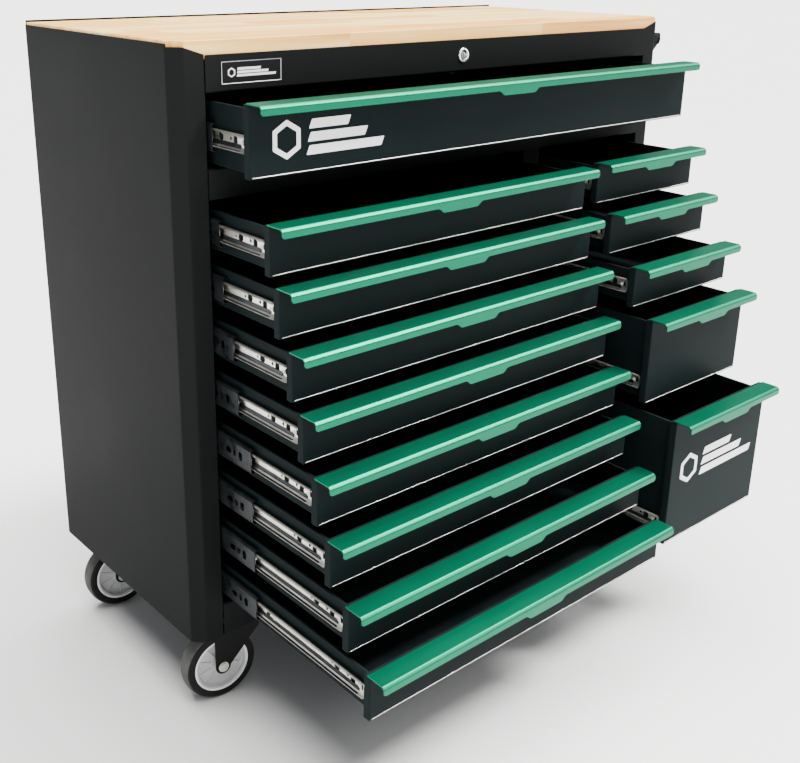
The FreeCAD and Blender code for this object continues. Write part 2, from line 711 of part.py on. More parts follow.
def casters():
    """Two swivel casters on the left, trailing outward, and two rigid ones on the right."""
    half_crown = cells["crown_length"] / 2
    crown_top = crown_bottom + cells["crown_gauge"]
    pin_hole = cells["kingpin_radius"] + cells["axle_play"]
    fixed = []
    bolts = [caster_bolt(number, across, along)
             for number, (across, along) in enumerate(bolt_places())]
    holes = fuse("plate_holes", bolt_holes("plate_hole"))
    plates = []
    for corner, side, end, swivel in CORNERS:
        across, along = caster_x * side, caster_y * end
        half_long, half_wide = cells["plate_length"] / 2, cells["plate_width"] / 2
        plate = box("plate_" + corner, (across - half_long, across + half_long),
                    (along - half_wide, along + half_wide), (plate_bottom, base))
        plate = cut("plate_drilled_" + corner, plate, holes)
        if swivel:
            race = cylinder("race_" + corner, cells["race_radius"], race_top - crown_top,
                            (0, 0, crown_top))
            hole = cylinder("king_hole_" + corner, pin_hole, race_top - crown_bottom + 2,
                            (0, 0, crown_bottom - 1))
            axle_x = -cells["trail"]
            swivel_fork = fork("fork_" + corner, axle_x, axle_x - cells["leg_foot_radius"],
                               half_crown, crown_top, ([race], [hole]))
            node(set_down(swivel_fork, across, along, 0, swivel), "caster_fork_" + corner)
            head = cells["kingpin_head_height"]
            pin = [
                cylinder("kingpin_" + corner, cells["kingpin_radius"], plate_bottom - crown_bottom + head,
                         (across, along, crown_bottom - head)),
                cylinder("kingpin_head_" + corner, cells["kingpin_head_radius"],
                         head - cells["race_play"], (across, along, crown_bottom - head)),
            ]
            plate = fuse("plate_and_pin_" + corner, [plate] + pin)
        else:
            half_rigid = cells["rigid_crown_length"] / 2
            rigid = fork("fork_" + corner, size_of(0), -half_rigid, half_rigid, plate_bottom, ([], []))
            fixed.append(set_down(rigid, across, along, 0, None))
        plates.append(plate)
    node(group("caster_fixed_set", plates + fixed + bolts), "caster_brackets")

    for corner, side, end, swivel in CORNERS:
        across, along = caster_x * side, caster_y * end
        spun = wheel("wheel_" + corner)
        if swivel:
            reach_x = Size(f"({cells['trail'].text} * cos({cells[swivel].text}))", 0)
            reach_y = Size(f"({cells['trail'].text} * sin({cells[swivel].text}))", 0)
            across, along = across - reach_x, along - reach_y
        node(set_down(spun, across, along, cells["wheel_radius"], swivel), "caster_wheel_" + corner)


# --- assembly and export --------------------------------------------------------------------------

shell()
slides_and_drawers()
lock()
push_handle()
casters()
doc.recompute()

for thing in doc.Objects:
    if "Invalid" in thing.State or "Error" in thing.State:
        raise RuntimeError(f"{thing.Label} did not build: {thing.State}")
for piece in nodes:
    if piece.Shape.isNull() or not piece.Shape.isValid():
        raise RuntimeError(f"{piece.Label} has no valid shape")

os.makedirs("parts", exist_ok=True)
for piece in nodes:
    piece.Shape.exportStep(f"parts/{piece.Label}.step")
print(len(nodes), "nodes written")
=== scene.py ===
import json
import math

import bmesh
import bpy
from mathutils import Matrix, Vector


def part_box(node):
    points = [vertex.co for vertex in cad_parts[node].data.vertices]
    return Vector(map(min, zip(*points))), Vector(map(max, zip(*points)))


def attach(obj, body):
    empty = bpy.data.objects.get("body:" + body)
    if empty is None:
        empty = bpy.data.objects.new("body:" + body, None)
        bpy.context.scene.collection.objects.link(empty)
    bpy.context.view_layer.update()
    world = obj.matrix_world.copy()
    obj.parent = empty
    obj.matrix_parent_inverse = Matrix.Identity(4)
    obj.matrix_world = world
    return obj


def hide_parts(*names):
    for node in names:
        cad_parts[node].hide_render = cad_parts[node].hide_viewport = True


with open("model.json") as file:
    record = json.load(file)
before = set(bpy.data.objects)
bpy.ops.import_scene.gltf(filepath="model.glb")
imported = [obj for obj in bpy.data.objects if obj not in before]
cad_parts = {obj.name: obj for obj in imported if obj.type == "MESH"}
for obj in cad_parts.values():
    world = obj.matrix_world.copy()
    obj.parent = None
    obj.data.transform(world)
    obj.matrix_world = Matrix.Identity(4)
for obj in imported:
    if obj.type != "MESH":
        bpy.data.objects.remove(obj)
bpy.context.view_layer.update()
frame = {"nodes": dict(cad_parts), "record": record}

# --- Side panels ----------------------------------------------------------------------------------
# Each side of the cabinet is one folded steel sheet: rear flange, side wall, bevelled corner, front
# post and inward return. The post is cut down at its top, with a slanted notch, and the whole is
# powder coated satin black.

CLOSE = 0.00002


def let_go():
    """Leave edit mode, with nothing selected."""
    if bpy.context.object and bpy.context.object.mode == "EDIT":
        bpy.ops.object.mode_set(mode="OBJECT")
    bpy.ops.object.select_all(action="DESELECT")


def take(piece):
    """Make one piece the only thing selected."""
    let_go()
    piece.select_set(True)
    bpy.context.view_layer.objects.active = piece
    return piece


def middle(part):
    """The middle of a vertex, edge or face."""
    if isinstance(part, bmesh.types.BMVert):
        return part.co
    return sum((corner.co for corner in part.verts), Vector()) / len(part.verts)


def pick(kind, test):
    """In edit mode, select the vertices, edges or faces that pass a test of the part and its middle."""
    bpy.ops.mesh.select_mode(type=kind)
    bpy.ops.mesh.select_all(action="DESELECT")
    mesh = bmesh.from_edit_mesh(bpy.context.object.data)
    parts = {"VERT": mesh.verts, "EDGE": mesh.edges, "FACE": mesh.faces}[kind]
    for part in [p for p in parts if test(p, middle(p))]:
        part.select_set(True)
    bmesh.update_edit_mesh(bpy.context.object.data)


def settle(name, size=(1, 1, 1)):
    """Put a new primitive's size and place into its mesh, and open it for shaping."""
    piece = bpy.context.object
    piece.scale = size
    bpy.ops.object.transform_apply(location=True, rotation=True, scale=True)
    piece.name = piece.data.name = name
    bpy.ops.object.mode_set(mode="EDIT")
    bpy.ops.mesh.select_all(action="SELECT")
    return piece


def start_block(name, low, high):
    """A block between two corners, open for shaping."""
    let_go()
    low, high = Vector(low), Vector(high)
    bpy.ops.mesh.primitive_cube_add(size=1, location=(low + high) / 2)
    return settle(name, high - low)


def round_off(radius, turns, kind="EDGES"):
    """Round the picked edges or corners over; a single turn cuts them flat."""
    bpy.ops.mesh.bevel(offset=radius, segments=turns, affect=kind)


def draw_out(shift=(0, 0, 0)):
    """Draw new sheet out of what is picked."""
    bpy.ops.mesh.extrude_region_move(TRANSFORM_OT_translate={"value": shift})


def face_out():
    """Select the whole piece and turn its faces to the outside."""
    bpy.ops.mesh.select_all(action="SELECT")
    bpy.ops.mesh.normals_make_consistent(inside=False)


def fold(name, line, run, radius, turns=3):
    """A folded sheet, open for shaping: a strip from line's first point to its second, its free edge
    drawn out to each further point, and its bends rounded. It faces across x run."""
    let_go()
    line, run = [Vector(point) for point in line], Vector(run)
    across = line[1] - line[0]
    facing = across.cross(run).normalized()
    lie = Matrix((across.normalized(), run.normalized(), facing)).transposed()
    bpy.ops.mesh.primitive_plane_add(size=1, location=line[0] + (across + run) / 2,
                                     rotation=lie.to_euler())
    piece = settle(name, (across.length, run.length, 1))
    edge = line[1] + run / 2
    pick("EDGE", lambda part, spot: (spot - edge).length < CLOSE)
    for near, far in zip(line[1:], line[2:]):
        draw_out(far - near)
    face_out()
    mesh = bmesh.from_edit_mesh(piece.data)
    first = min(mesh.faces, key=lambda face: (middle(face) - line[0] - (across + run) / 2).length)
    if first.normal.dot(facing) < 0:
        bpy.ops.mesh.flip_normals()
    if radius:
        pick("EDGE", lambda part, spot: len(part.link_faces) == 2)
        round_off(radius, turns)
    return piece


def work(piece, kind, **settings):
    """Put one modifier on a piece and make it part of the mesh."""
    take(piece)
    step = piece.modifiers.new(kind.lower(), kind)
    for name, setting in settings.items():
        setattr(step, name, setting)
    bpy.ops.object.modifier_apply(modifier=step.name)
    return piece


def thicken(piece, gauge):
    """Give a sheet its gauge, inward from the drawn face."""
    return work(piece, "SOLIDIFY", thickness=gauge, offset=-1, use_even_offset=True)


def ease(piece, radius, turns=2, angle=50):
    """Take the sharpness off a piece's edges."""
    return work(piece, "BEVEL", width=radius, segments=turns, angle_limit=math.radians(angle))


def punch(piece, tool):
    """Cut a tool's shape out of a piece, and put the tool away."""
    work(piece, "BOOLEAN", object=tool, operation="DIFFERENCE")
    bpy.data.objects.remove(tool)
    return piece


def copy_piece(source, name, shift=(0, 0, 0), mirrored=False, angle=0):
    """Another of the same piece, with its own mesh, moved, turned about Z or mirrored left to right."""
    take(source)
    bpy.ops.object.duplicate()
    piece = bpy.context.object
    piece.name = piece.data.name = name
    piece.scale.x = -1 if mirrored else 1
    piece.rotation_euler.z = angle
    piece.location = shift
    bpy.ops.object.transform_apply(location=True, rotation=True, scale=True)
    if mirrored:
        bpy.ops.object.mode_set(mode="EDIT")
        face_out()
    let_go()
    return piece


def put_together(name, pieces):
    """Join several pieces into one object."""
    take(pieces[0])
    for piece in pieces[1:]:
        piece.select_set(True)
    bpy.ops.object.join()
    pieces[0].name = pieces[0].data.name = name
    return pieces[0]


def fit(piece, body, slot, finish, *nodes):
    """Give a finished piece its finish, unless its parts have their own, and its moving body."""
    take(piece)
    bpy.ops.object.shade_smooth_by_angle(angle=math.radians(36))
    work(piece, "WEIGHTED_NORMAL", keep_sharp=True)
    if len(piece.data.materials) < 2:
        piece.data.materials.clear()
        piece.data.materials.append(finish)
    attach(piece, body)
    if nodes:
        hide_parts(*nodes)
    return piece


class Coat:
    """A socket of a finish: sums on it add Math nodes, and add() puts in any other node."""

    def __init__(self, tree, socket=None):
        self.tree, self.socket = tree, socket

    def add(self, kind, settings=(), values=(), out=0):
        node = self.tree.nodes.new("ShaderNode" + kind)
        for name, setting in dict(settings).items():
            if name == "stops":
                for place, colour in setting[1:-1]:
                    node.color_ramp.elements.new(place)
                for stop, (place, colour) in zip(node.color_ramp.elements, setting):
                    stop.position, stop.color = place, colour
            else:
                setattr(node, name, setting)
        for name, value in dict(values).items():
            if isinstance(value, Coat):
                self.tree.links.new(value.socket, node.inputs[name])
            else:
                node.inputs[name].default_value = value
        return Coat(self.tree, node.outputs[out])

    def sum(self, operation, *terms):
        return self.add("Math", {"operation": operation}, enumerate(terms))

    def __add__(self, other):
        return self.sum("ADD", self, other)

    def __sub__(self, other):
        return self.sum("SUBTRACT", self, other)

    def __rsub__(self, other):
        return self.sum("SUBTRACT", other, self)

    def __mul__(self, other):
        return self.sum("MULTIPLY", self, other)

    def __truediv__(self, other):
        return self.sum("DIVIDE", self, other)

    def __gt__(self, limit):
        return self.sum("GREATER_THAN", self, limit)

    __radd__, __rmul__ = __add__, __mul__

    def along(self, letter):
        """How far along X, Y or Z."""
        return self.add("SeparateXYZ", {}, {0: self}, out=letter)

    def stretched(self, x, y, z):
        """These coordinates, scaled apart along each direction."""
        return self.add("Mapping", {"vector_type": "POINT"}, {"Vector": self, "Scale": (x, y, z)})

    def noise(self, scale, detail=3, rough=0.5):
        """Soft noise from 0 to 1 over these coordinates."""
        return self.add("TexNoise", {}, {"Vector": self, "Scale": scale, "Detail": detail,
                                         "Roughness": rough})

    def part(self, low, high):
        """This value's way from low to high, as 0 to 1."""
        return self.add("MapRange", {}, {"Value": self, "From Min": low, "From Max": high})

    def between(self, first, second):
        """The colour this far from the first to the second."""
        return self.add("Mix", {"data_type": "RGBA"}, {0: self, 6: first, 7: second}, out=2)

    def relief(self, distance, strength):
        """A surface raised by this height."""
        return self.add("Bump", {}, {"Height": self, "Distance": distance, "Strength": strength})


def start_finish(name, **even):
    """A finish with the values that are the same all over, and its piece's own coordinates."""
    finish = bpy.data.materials.new(name)
    finish.use_nodes = True
    surface = finish.node_tree.nodes["Principled BSDF"]
    for socket, value in even.items():
        surface.inputs[socket.replace("_", " ")].default_value = value
    return finish, Coat(finish.node_tree).add("TexCoord", out="Object")


def end_finish(finish, **uneven):
    """Lead what changes over the surface into its shader."""
    surface = finish.node_tree.nodes["Principled BSDF"]
    for socket, coat in uneven.items():
        finish.node_tree.links.new(coat.socket, surface.inputs[socket.replace("_", " ")])
    return finish


def powder_coat(name, dark, light, rough=0.4):
    """Baked powder paint: a fine pebbled skin, faint cloudiness, dust where it lies flat, and rubbed
    marks that are a little glossier."""
    finish, place = start_finish(name, Specular_IOR_Level=0.018)
    cloud = place.noise(1.6, 3, 0.5).part(0.25, 0.75)
    speck = place.noise(420, 2).part(0.35, 0.65)
    pebble = place.noise(900, 2)
    rub = place.noise(7, 5, 0.7).part(0.5, 0.8)
    up = place.add("NewGeometry", out="Normal").along("Z")
    dust = up.part(0.6, 1.0) * place.noise(14, 5, 0.7).part(0.4, 0.8)
    colour = (cloud * 0.8 + speck * 0.2).between(dark, light)
    colour = (dust * 0.08).between(colour, (0.09, 0.088, 0.082, 1))
    return end_finish(finish, Base_Color=colour,
                      Roughness=rough + 0.05 * cloud + 0.2 * dust - 0.06 * rub + 0.05 * speck,
                      Normal=(pebble + 0.4 * speck).relief(0.00006, 0.35))


shell_black = powder_coat("shell_black", (0.0068, 0.0076, 0.0080, 1), (0.0105, 0.0112, 0.0112, 1))


def fit_shell(piece, *nodes):
    """A black piece of the fixed cabinet."""
    return fit(piece, "cabinet", "shell_black", shell_black, *nodes)


SHEET = 0.0012
OVER = 0.001
low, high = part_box("side_panels")
post, post_return, corner, rear_flange = 0.049, 0.020, 0.017, 0.015
notch_run, notch_drop, post_drop = 0.026, 0.011, 0.004
post_top = high.z - post_drop
header_top = post_top - notch_drop
deck_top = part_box("top_deck")[1].z
left_side = fold("side_panel_left", [
    (low.x + rear_flange, high.y, low.z), (low.x, high.y, low.z), (low.x, low.y + corner, low.z),
    (low.x + corner, low.y, low.z), (low.x + post, low.y, low.z),
    (low.x + post, low.y + post_return, low.z)], (0, 0, high.z - low.z), 0.0022, 4)
thicken(left_side, SHEET)
near, beyond, past_post = low.y - OVER, low.y + corner, low.x + post + OVER
slope_start, slope_end = low.x + corner, low.x + corner + notch_run
punch(left_side, start_block("notch_step", (low.x - OVER, near, post_top),
                             (past_post, beyond, high.z + OVER)))
slope = start_block("notch_slope", (slope_start, near, header_top),
                    (past_post, beyond, post_top + 0.0001))
bpy.ops.mesh.bisect(plane_co=(slope_end, 0, header_top), plane_no=(notch_drop, 0, notch_run),
                    use_fill=True, clear_inner=True)
punch(left_side, slope)
punch(left_side, start_block("return_cut", (low.x + post - 0.003, low.y + 0.003, deck_top - SHEET),
                             (past_post, low.y + post_return + OVER, high.z + OVER)))
right_side = copy_piece(left_side, "side_panel_right", mirrored=True)
fit_shell(left_side, "side_panels")
fit_shell(right_side, "side_panels")

# --- Front rails ----------------------------------------------------------------------------------
# Three channels across the front between the posts: the header under the worktop, which holds the
# lock, the rail under the full-width drawer and the rail along the bottom. Folded from the same
# sheet as the sides and welded to the posts.

front_low, front_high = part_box("front_rails")
back_of_rail = front_low.y + post_return
width = front_high.x - front_low.x


def fold_rail(name, bottom, top, closed):
    """A channel open to the back, with a flange at the top where it is closed."""
    line = [(front_low.x, back_of_rail, bottom), (front_low.x, front_low.y, bottom),
            (front_low.x, front_low.y, top)]
    if closed:
        line.append((front_low.x, back_of_rail, top))
    return thicken(fold(name, line, (width, 0, 0), 0.0018), SHEET)


HEADER, MID_RAIL, BOTTOM_RAIL = 0.048, 0.040, 0.054
header = fold_rail("header", front_high.z - HEADER, front_high.z, False)
columns_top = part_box("centre_divider")[1].z
bottom_rail_top = front_low.z + BOTTOM_RAIL
lock_low, lock_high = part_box("lock_housing")
lock_centre = (0, lock_low.y, (lock_low.z + lock_high.z) / 2)
bpy.ops.mesh.primitive_cylinder_add(
    vertices=40, radius=0.0097, depth=0.01, rotation=(math.pi / 2, 0, 0),
    location=(0, front_low.y, lock_centre[2]))
punch(header, settle("lock_hole"))
for rail in (header, fold_rail("mid_rail", columns_top, columns_top + MID_RAIL, True),
             fold_rail("bottom_rail", front_low.z, bottom_rail_top, True)):
    fit_shell(rail, "front_rails")

# --- Floor pan, back and divider ------------------------------------------------------------------
# The floor is a 2 mm pan with a flange up its back; the back is one flat sheet riveted to the side
# flanges, its edge standing a little above the worktop; the divider between the two columns is a
# hollow folded post, notched over the bottom rail.

PAN = 0.002
pan_low, pan_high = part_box("base_pan")
pan = fold("floor_pan", [(pan_low.x, pan_low.y, pan_low.z), (pan_low.x, pan_high.y, pan_low.z),
                        (pan_low.x, pan_high.y, pan_high.z)], (pan_high.x - pan_low.x, 0, 0), 0.003)
bpy.ops.mesh.select_all(action="SELECT")
bpy.ops.mesh.flip_normals()
thicken(pan, PAN)
fit_shell(pan, "base_pan")

back_low, back_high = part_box("back_panel")
back = thicken(fold("back_sheet", [(back_low.x, back_high.y, back_low.z),
                                   (back_low.x, back_high.y, back_high.z)],
                    (back_high.x - back_low.x, 0, 0), 0), SHEET)


def dome(name, spot, radius, rise, turns):
    """A low domed head, turned about its axes to face away from its wall."""
    let_go()
    bpy.ops.mesh.primitive_uv_sphere_add(segments=16, ring_count=8, radius=radius, location=spot,
                                         rotation=turns)
    return settle(name, (1, 1, rise / radius))


rivet_x, rivet_rise = back_high.x - 0.024, (back_high.z - back_low.z - 0.08) / 7
rivet_spots = [(side * rivet_x, back_low.z + 0.03 + rivet_rise * step)
               for side in (-1, 1) for step in range(8)]
rivet_spots += [(0.12 * step - 0.42, back_low.z + 0.014) for step in range(8)]
rivets = [dome("back_rivet", (x, back_high.y, z), 0.0035, 0.0009, (math.pi / 2, 0, 0))
          for x, z in rivet_spots]
fit_shell(put_together("back_sheet", [back] + rivets), "back_panel")

low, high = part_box("centre_divider")
divider = fold("divider_post", [(low.x, high.y, low.z), (low.x, low.y, low.z), (high.x, low.y, low.z),
                                  (high.x, high.y, low.z)], (0, 0, high.z - low.z), 0.0015)
thicken(divider, SHEET)
foot = start_block("divider_foot", (low.x - 0.01, low.y - 0.01, low.z - 0.01),
                   (high.x + 0.01, back_of_rail, bottom_rail_top))
fit_shell(punch(divider, foot), "centre_divider")
for place in frame["nodes"]["top_deck"].material_slots:
    place.material = shell_black

# --- Worktop --------------------------------------------------------------------------------------
# A 25 mm top of finger-jointed softwood staves glued side by side, sanded and lacquered, with its
# front corners cut to the cabinet's bevel. It lies on the deck inside the shell's raised edges.

low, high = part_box("worktop")
worktop = start_block("wood_top", low, high)
pick("EDGE", lambda edge, spot: abs(edge.verts[0].co.z - edge.verts[1].co.z) > 0.01
     and spot.y < low.y + CLOSE)
round_off(0.0175, 1)
ease(worktop, 0.0012, 3, 30)

worktop_wood, place = start_finish("worktop_wood", Specular_IOR_Level=0.45, Coat_Weight=0.25,
                                   Coat_Roughness=0.22)
length, across = place.along("X"), place.along("Y")
STAVE, JOINT = 0.045, 0.42
row = place.sum("FLOOR", across / STAVE)
shift = row.add("TexWhiteNoise", {"noise_dimensions": "1D"}, {"W": row}) * JOINT
along = (length + shift) / JOINT
stave = place.sum("FLOOR", along)
lot = place.add("TexWhiteNoise", {"noise_dimensions": "2D"},
                {"Vector": place.add("CombineXYZ", {}, {"X": row * 3.7, "Y": stave * 5.3})})
sawn = place.add("CombineXYZ", {}, {
    "X": length * 1.4 + lot * 9, "Y": across * 26 + lot * 40, "Z": place.along("Z") * 26})
grain = sawn.noise(2.2, 5, 0.55)
rings = sawn.add("TexWave", {"wave_type": "BANDS", "bands_direction": "Y"},
                 {"Vector": sawn, "Scale": 1.1, "Distortion": 5.0, "Detail": 3.0,
                  "Detail Scale": 1.4}, out="Fac")
pore = place.stretched(40, 700, 700).noise(1.0, 2)
seam = place.sum("ABSOLUTE", place.sum("FRACT", across / STAVE) - 0.5) > 0.488
butt = place.sum("ABSOLUTE", place.sum("FRACT", along) - 0.5) > 0.4985
tone = grain.part(0.3, 0.7) * 0.45 + rings * 0.2 + lot * 0.45
colour = tone.add("ValToRGB", {"stops": [
    (0.0, (0.98, 0.83, 0.50, 1)), (0.35, (0.97, 0.71, 0.28, 1)), (0.60, (0.94, 0.52, 0.12, 1)),
    (0.9, (0.76, 0.32, 0.05, 1))]}, {0: tone})
colour = (place.sum("MAXIMUM", seam, butt) * 0.35).between(colour, (0.30, 0.16, 0.07, 1))
end_finish(worktop_wood, Base_Color=colour, Roughness=0.36 + 0.12 * grain + 0.1 * pore,
           Normal=(grain * 0.5 + pore * 0.3 - seam * 0.8).relief(0.00012, 0.4))
fit(worktop, "cabinet", "worktop_wood", worktop_wood, "worktop")

# --- Slides ---------------------------------------------------------------------------------------
# Every drawer runs on two 45 mm ball-bearing slides of zinc-plated steel. The outer and middle
# members, and a strip in the inner member's lower race, are near-black: painted shade for the shade
# inside the cabinet. The outer member is fixed to the uprights, the middle one floats, and the inner
# one is screwed to the tray. Their edges are rolled into ball races, and their webs are punched.

SLIDE, SLIDE_HALF, SIDE_PLAY = 0.0127, 0.019, 0.0015


def roll_channel(name, half, length, opens_out=True):
    """One member with its wall at X = 0: half its section, from its web's corner to its lip, as
    (distance from the wall, height), mirrored downward and rolled out along Y."""
    whole = [(across, -tall) for across, tall in reversed(half)] + half
    near, run = (0, length) if opens_out else (length, -length)
    channel = fold(name, [(across, near, tall) for across, tall in whole], (0, run, 0), 0.0006, 2)
    return thicken(channel, SHEET)


def pick_along(axis):
    """Select a block's edges along X (0), Y (1) or Z (2)."""
    pick("EDGE", lambda edge, spot: abs(edge.verts[0].co[axis] - edge.verts[1].co[axis]) > CLOSE)


def slot_tool(near, width, tall, centre=0.0):
    """A round-ended slot through a web, its near end this far along the slide."""
    tool = start_block("slot_tool", (-0.002, near, centre - tall / 2),
                       (0.016, near + width, centre + tall / 2))
    pick_along(0)
    round_off(min(width, tall) * 0.48, 5)
    return tool


def punch_slots(piece, *slots):
    """Punch a row of slots, each (near end, width, height, height of its middle)."""
    return punch(piece, put_together("slots", [slot_tool(*slot) for slot in slots]))


def set_down(piece, spot, turns):
    """Turn a piece about its axes and move it to a spot."""
    take(piece)
    piece.location, piece.rotation_euler = spot, turns
    bpy.ops.object.transform_apply(location=True, rotation=True, scale=True)
    return piece


def screw_head(name, y):
    """A low domed screw head with a cross recess, on the inner member this far along it."""
    spot, radius, rise = (0.0115, y, 0.0), 0.0030, 0.0012
    head = dome(name, spot, radius, rise, (0, math.pi / 2, 0))
    for turn in (0, math.pi / 2):
        bar = start_block("recess", (-rise, -radius * 0.55, -radius * 0.12),
                          (rise * 0.4, radius * 0.55, radius * 0.12))
        round_off(radius * 0.03, 1)
        punch(head, set_down(bar, (spot[0] - rise, y, 0.0), (turn, 0, 0)))
    return head


slide_zinc, place = start_finish("slide_zinc", Metallic=1.0)
drawn = place.stretched(300, 6, 300).noise(1.0, 3)
blotch = place.noise(34, 4, 0.6)
end_finish(slide_zinc,
           Base_Color=blotch.part(0.35, 0.7).between((0.86, 0.84, 0.78, 1), (0.66, 0.63, 0.56, 1)),
           Roughness=0.26 + 0.14 * blotch + 0.08 * drawn, Normal=drawn.relief(0.00005, 0.3))
# Near-black steel with a random mottle: painted shade for the slide members that lie in shade.
slide_dark, place = start_finish("slide_dark", Metallic=0.7, Specular_IOR_Level=0.2)
shade_mottle = place.noise(46, 4, 0.6).part(0.35, 0.7)
end_finish(slide_dark, Base_Color=shade_mottle.between((0.014, 0.017, 0.020, 1), (0.038, 0.041, 0.044, 1)),
           Roughness=0.22 + 0.16 * shade_mottle + 0.08 * place.stretched(300, 6, 300).noise(1.0, 3))

fixed_low, fixed_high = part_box("slide_rails")
outer_length = 0.3996
middle_low, middle_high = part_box("slide_middle_top")
middle_length = middle_high.y - middle_low.y
inner_length = outer_length - 0.022

outer = roll_channel("slide_outer", [
    (0, 0.0195), (0.0030, 0.0225), (0.0080, 0.0225), (0.0105, 0.0212), (0.0105, 0.0196)], outer_length)
punch_slots(outer, (0.012, 0.012, 0.005), (0.040, 0.0065, 0.0065), (0.10, 0.018, 0.006),
            (0.19, 0.012, 0.005), (0.27, 0.018, 0.006), (0.36, 0.012, 0.005))
middle_member = roll_channel("slide_middle", [
    (0.0032, 0.0158), (0.0056, 0.0190), (0.0086, 0.0190), (0.0109, 0.0176), (0.0109, 0.0148),
    (0.0098, 0.0136)], middle_length)
punch_slots(middle_member, (0.022, 0.009, 0.014), (0.038, 0.006, 0.010), (0.050, 0.014, 0.009),
            (0.16, 0.02, 0.010), (0.30, 0.02, 0.010))
bpy.ops.mesh.primitive_circle_add(vertices=48, radius=0.0150, rotation=(0, math.pi / 2, 0),
                                  location=(0.0060, 0.0165, 0))
crescent = settle("ball_retainer")
draw_out()
bpy.ops.transform.resize(value=(1, 0.76, 0.86), center_override=(0.0060, 0.0175, 0))
pick("VERT", lambda corner, spot: spot.y > 0.0165)
bpy.ops.mesh.delete(type="VERT")
face_out()
thicken(crescent, 0.0009)
crescent.data.materials.append(slide_zinc)
middle_member.data.materials.append(slide_dark)
middle_member = put_together("slide_middle", [middle_member, crescent])

inner = roll_channel("slide_inner", [
    (SLIDE, 0.0062), (0.0100, 0.0108), (0.0088, 0.0123), (0.0064, 0.0123), (0.0052, 0.0108)],
    inner_length, False)
punch_slots(inner, (0.0040, 0.0045, 0.009, 0.001), (0.021, 0.010, 0.013, 0.002),
            (0.0345, 0.005, 0.005, 0.003), (0.054, 0.012, 0.011, 0.003), (0.069, 0.004, 0.004, 0.003),
            (0.215, 0.010, 0.010, 0.003), (0.34, 0.012, 0.008, 0.003))
# A near-black strip lying in the inner member's lower race: painted shade for the shaded race.
track = fold("ball_track", [(0.0058, 0.012, -0.0098), (0.0096, 0.012, -0.0098),
                            (0.0105, 0.012, -0.0086), (0.0105, 0.012, -0.0018)],
             (0, inner_length - 0.016, 0), 0.0004, 2)
thicken(track, 0.0007)
inner.data.materials.append(slide_zinc)
track.data.materials.append(slide_dark)
inner = put_together("slide_inner", [inner, track] + [screw_head("slide_screw", y) for y in (0.012, 0.205)])

drawers = [body[7:] for body in frame["record"]["behaviour"]["bodies"] if body.startswith("drawer_")]
for name in drawers:
    face, middle_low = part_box("drawer_" + name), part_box("slide_middle_" + name)[0]
    height = middle_low.z + SLIDE_HALF
    for letter, wall, mirrored in (("a", face[0].x - SIDE_PLAY, False), ("b", face[1].x + SIDE_PLAY, True)):
        for member, kind, near, body, finish, node in (
                (outer, "outer", fixed_low.y, "cabinet", slide_dark, "slide_rails"),
                (middle_member, "middle", middle_low.y, "middle_" + name, slide_zinc, "slide_middle_" + name),
                (inner, "inner", face[0].y + 0.020, "drawer_" + name, slide_zinc, "drawer_" + name)):
            fit(copy_piece(member, f"slide_{kind}_{name}_{letter}", (wall, near, height), mirrored),
                body, "slide_zinc", finish, node)
for pattern in (outer, middle_member, inner):
    bpy.data.objects.remove(pattern)

# --- Uprights -------------------------------------------------------------------------------------
# Four folded channels stand inside the side walls and hold the outer slide members, which hook into
# a row of slots down each of them. Black like the shell.

UPRIGHT, HOOK_PITCH = 0.040, 0.041
wall_edge, slide_edge = fixed_low.x, front_low.x
foot_height = pan_low.z + PAN
upright = fold("upright", [(wall_edge, 0, foot_height), (slide_edge, 0, foot_height),
                           (slide_edge, UPRIGHT, foot_height), (wall_edge, UPRIGHT, foot_height)],
               (0, 0, fixed_high.z - foot_height), 0.0015)
thicken(upright, SHEET)
hooks = [start_block("hook_slot", (slide_edge - 0.004, 0.017, z), (slide_edge + 0.004, 0.023, z + 0.014))
         for z in [foot_height + 0.03 + HOOK_PITCH * step for step in range(20)]]
punch(upright, put_together("hook_slots", hooks))
for end, near in (("front", back_of_rail), ("rear", fixed_high.y - UPRIGHT)):
    for side, mirrored in (("left", False), ("right", True)):
        fit_shell(copy_piece(upright, f"upright_{side}_{end}", (0, near, 0), mirrored), "slide_rails")
bpy.data.objects.remove(upright)

# --- Drawer trays ---------------------------------------------------------------------------------
# Each tray is a box of 1 mm sheet with rounded corners, its rim turned inward and down, and stepped
# low at the front where it meets the front panel. Satin black inside and out.

drawer_black = powder_coat("drawer_black", (0.0046, 0.0078, 0.0084, 1),
                           (0.0076, 0.0120, 0.0124, 1), 0.36)
TRAY, TRAY_FOOT, TRAY_TOP, RIM = 0.001, 0.004, 0.007, 0.008


def press_tray(name, low, high):
    """A tray between the slides of a drawer's box, and behind its front."""
    low = Vector((low.x - SIDE_PLAY + SLIDE, low.y + SHEET, low.z + TRAY_FOOT))
    high = Vector((high.x + SIDE_PLAY - SLIDE, high.y, high.z - TRAY_TOP))
    tray = start_block(name, low, high)
    pick("FACE", lambda face, spot: face.normal.z > 0.9)
    bpy.ops.mesh.delete(type="FACE")
    pick("EDGE", lambda edge, spot: len(edge.link_faces) == 2)
    round_off(0.003, 3)
    pick("FACE", lambda face, spot: face.normal.z < -0.99)
    bpy.ops.mesh.inset(thickness=0.030)
    bpy.ops.mesh.inset(thickness=0.002)
    bpy.ops.transform.translate(value=(0, 0, 0.0012))
    pick("EDGE", lambda edge, spot: len(edge.link_faces) == 1)
    draw_out()
    size = high - low
    bpy.ops.transform.resize(value=(1 - RIM / size.x, 1 - RIM / size.y, 1), center_override=(low + high) / 2)
    draw_out((0, 0, -0.006))
    thicken(tray, TRAY)
    steps = [start_block("step", (near, low.y + 0.002, high.z - 0.009), (far, low.y + 0.014, high.z + 0.002))
             for near, far in ((low.x - 0.002, low.x + 0.007), (high.x - 0.007, high.x + 0.002))]
    return punch(tray, put_together("steps", steps))


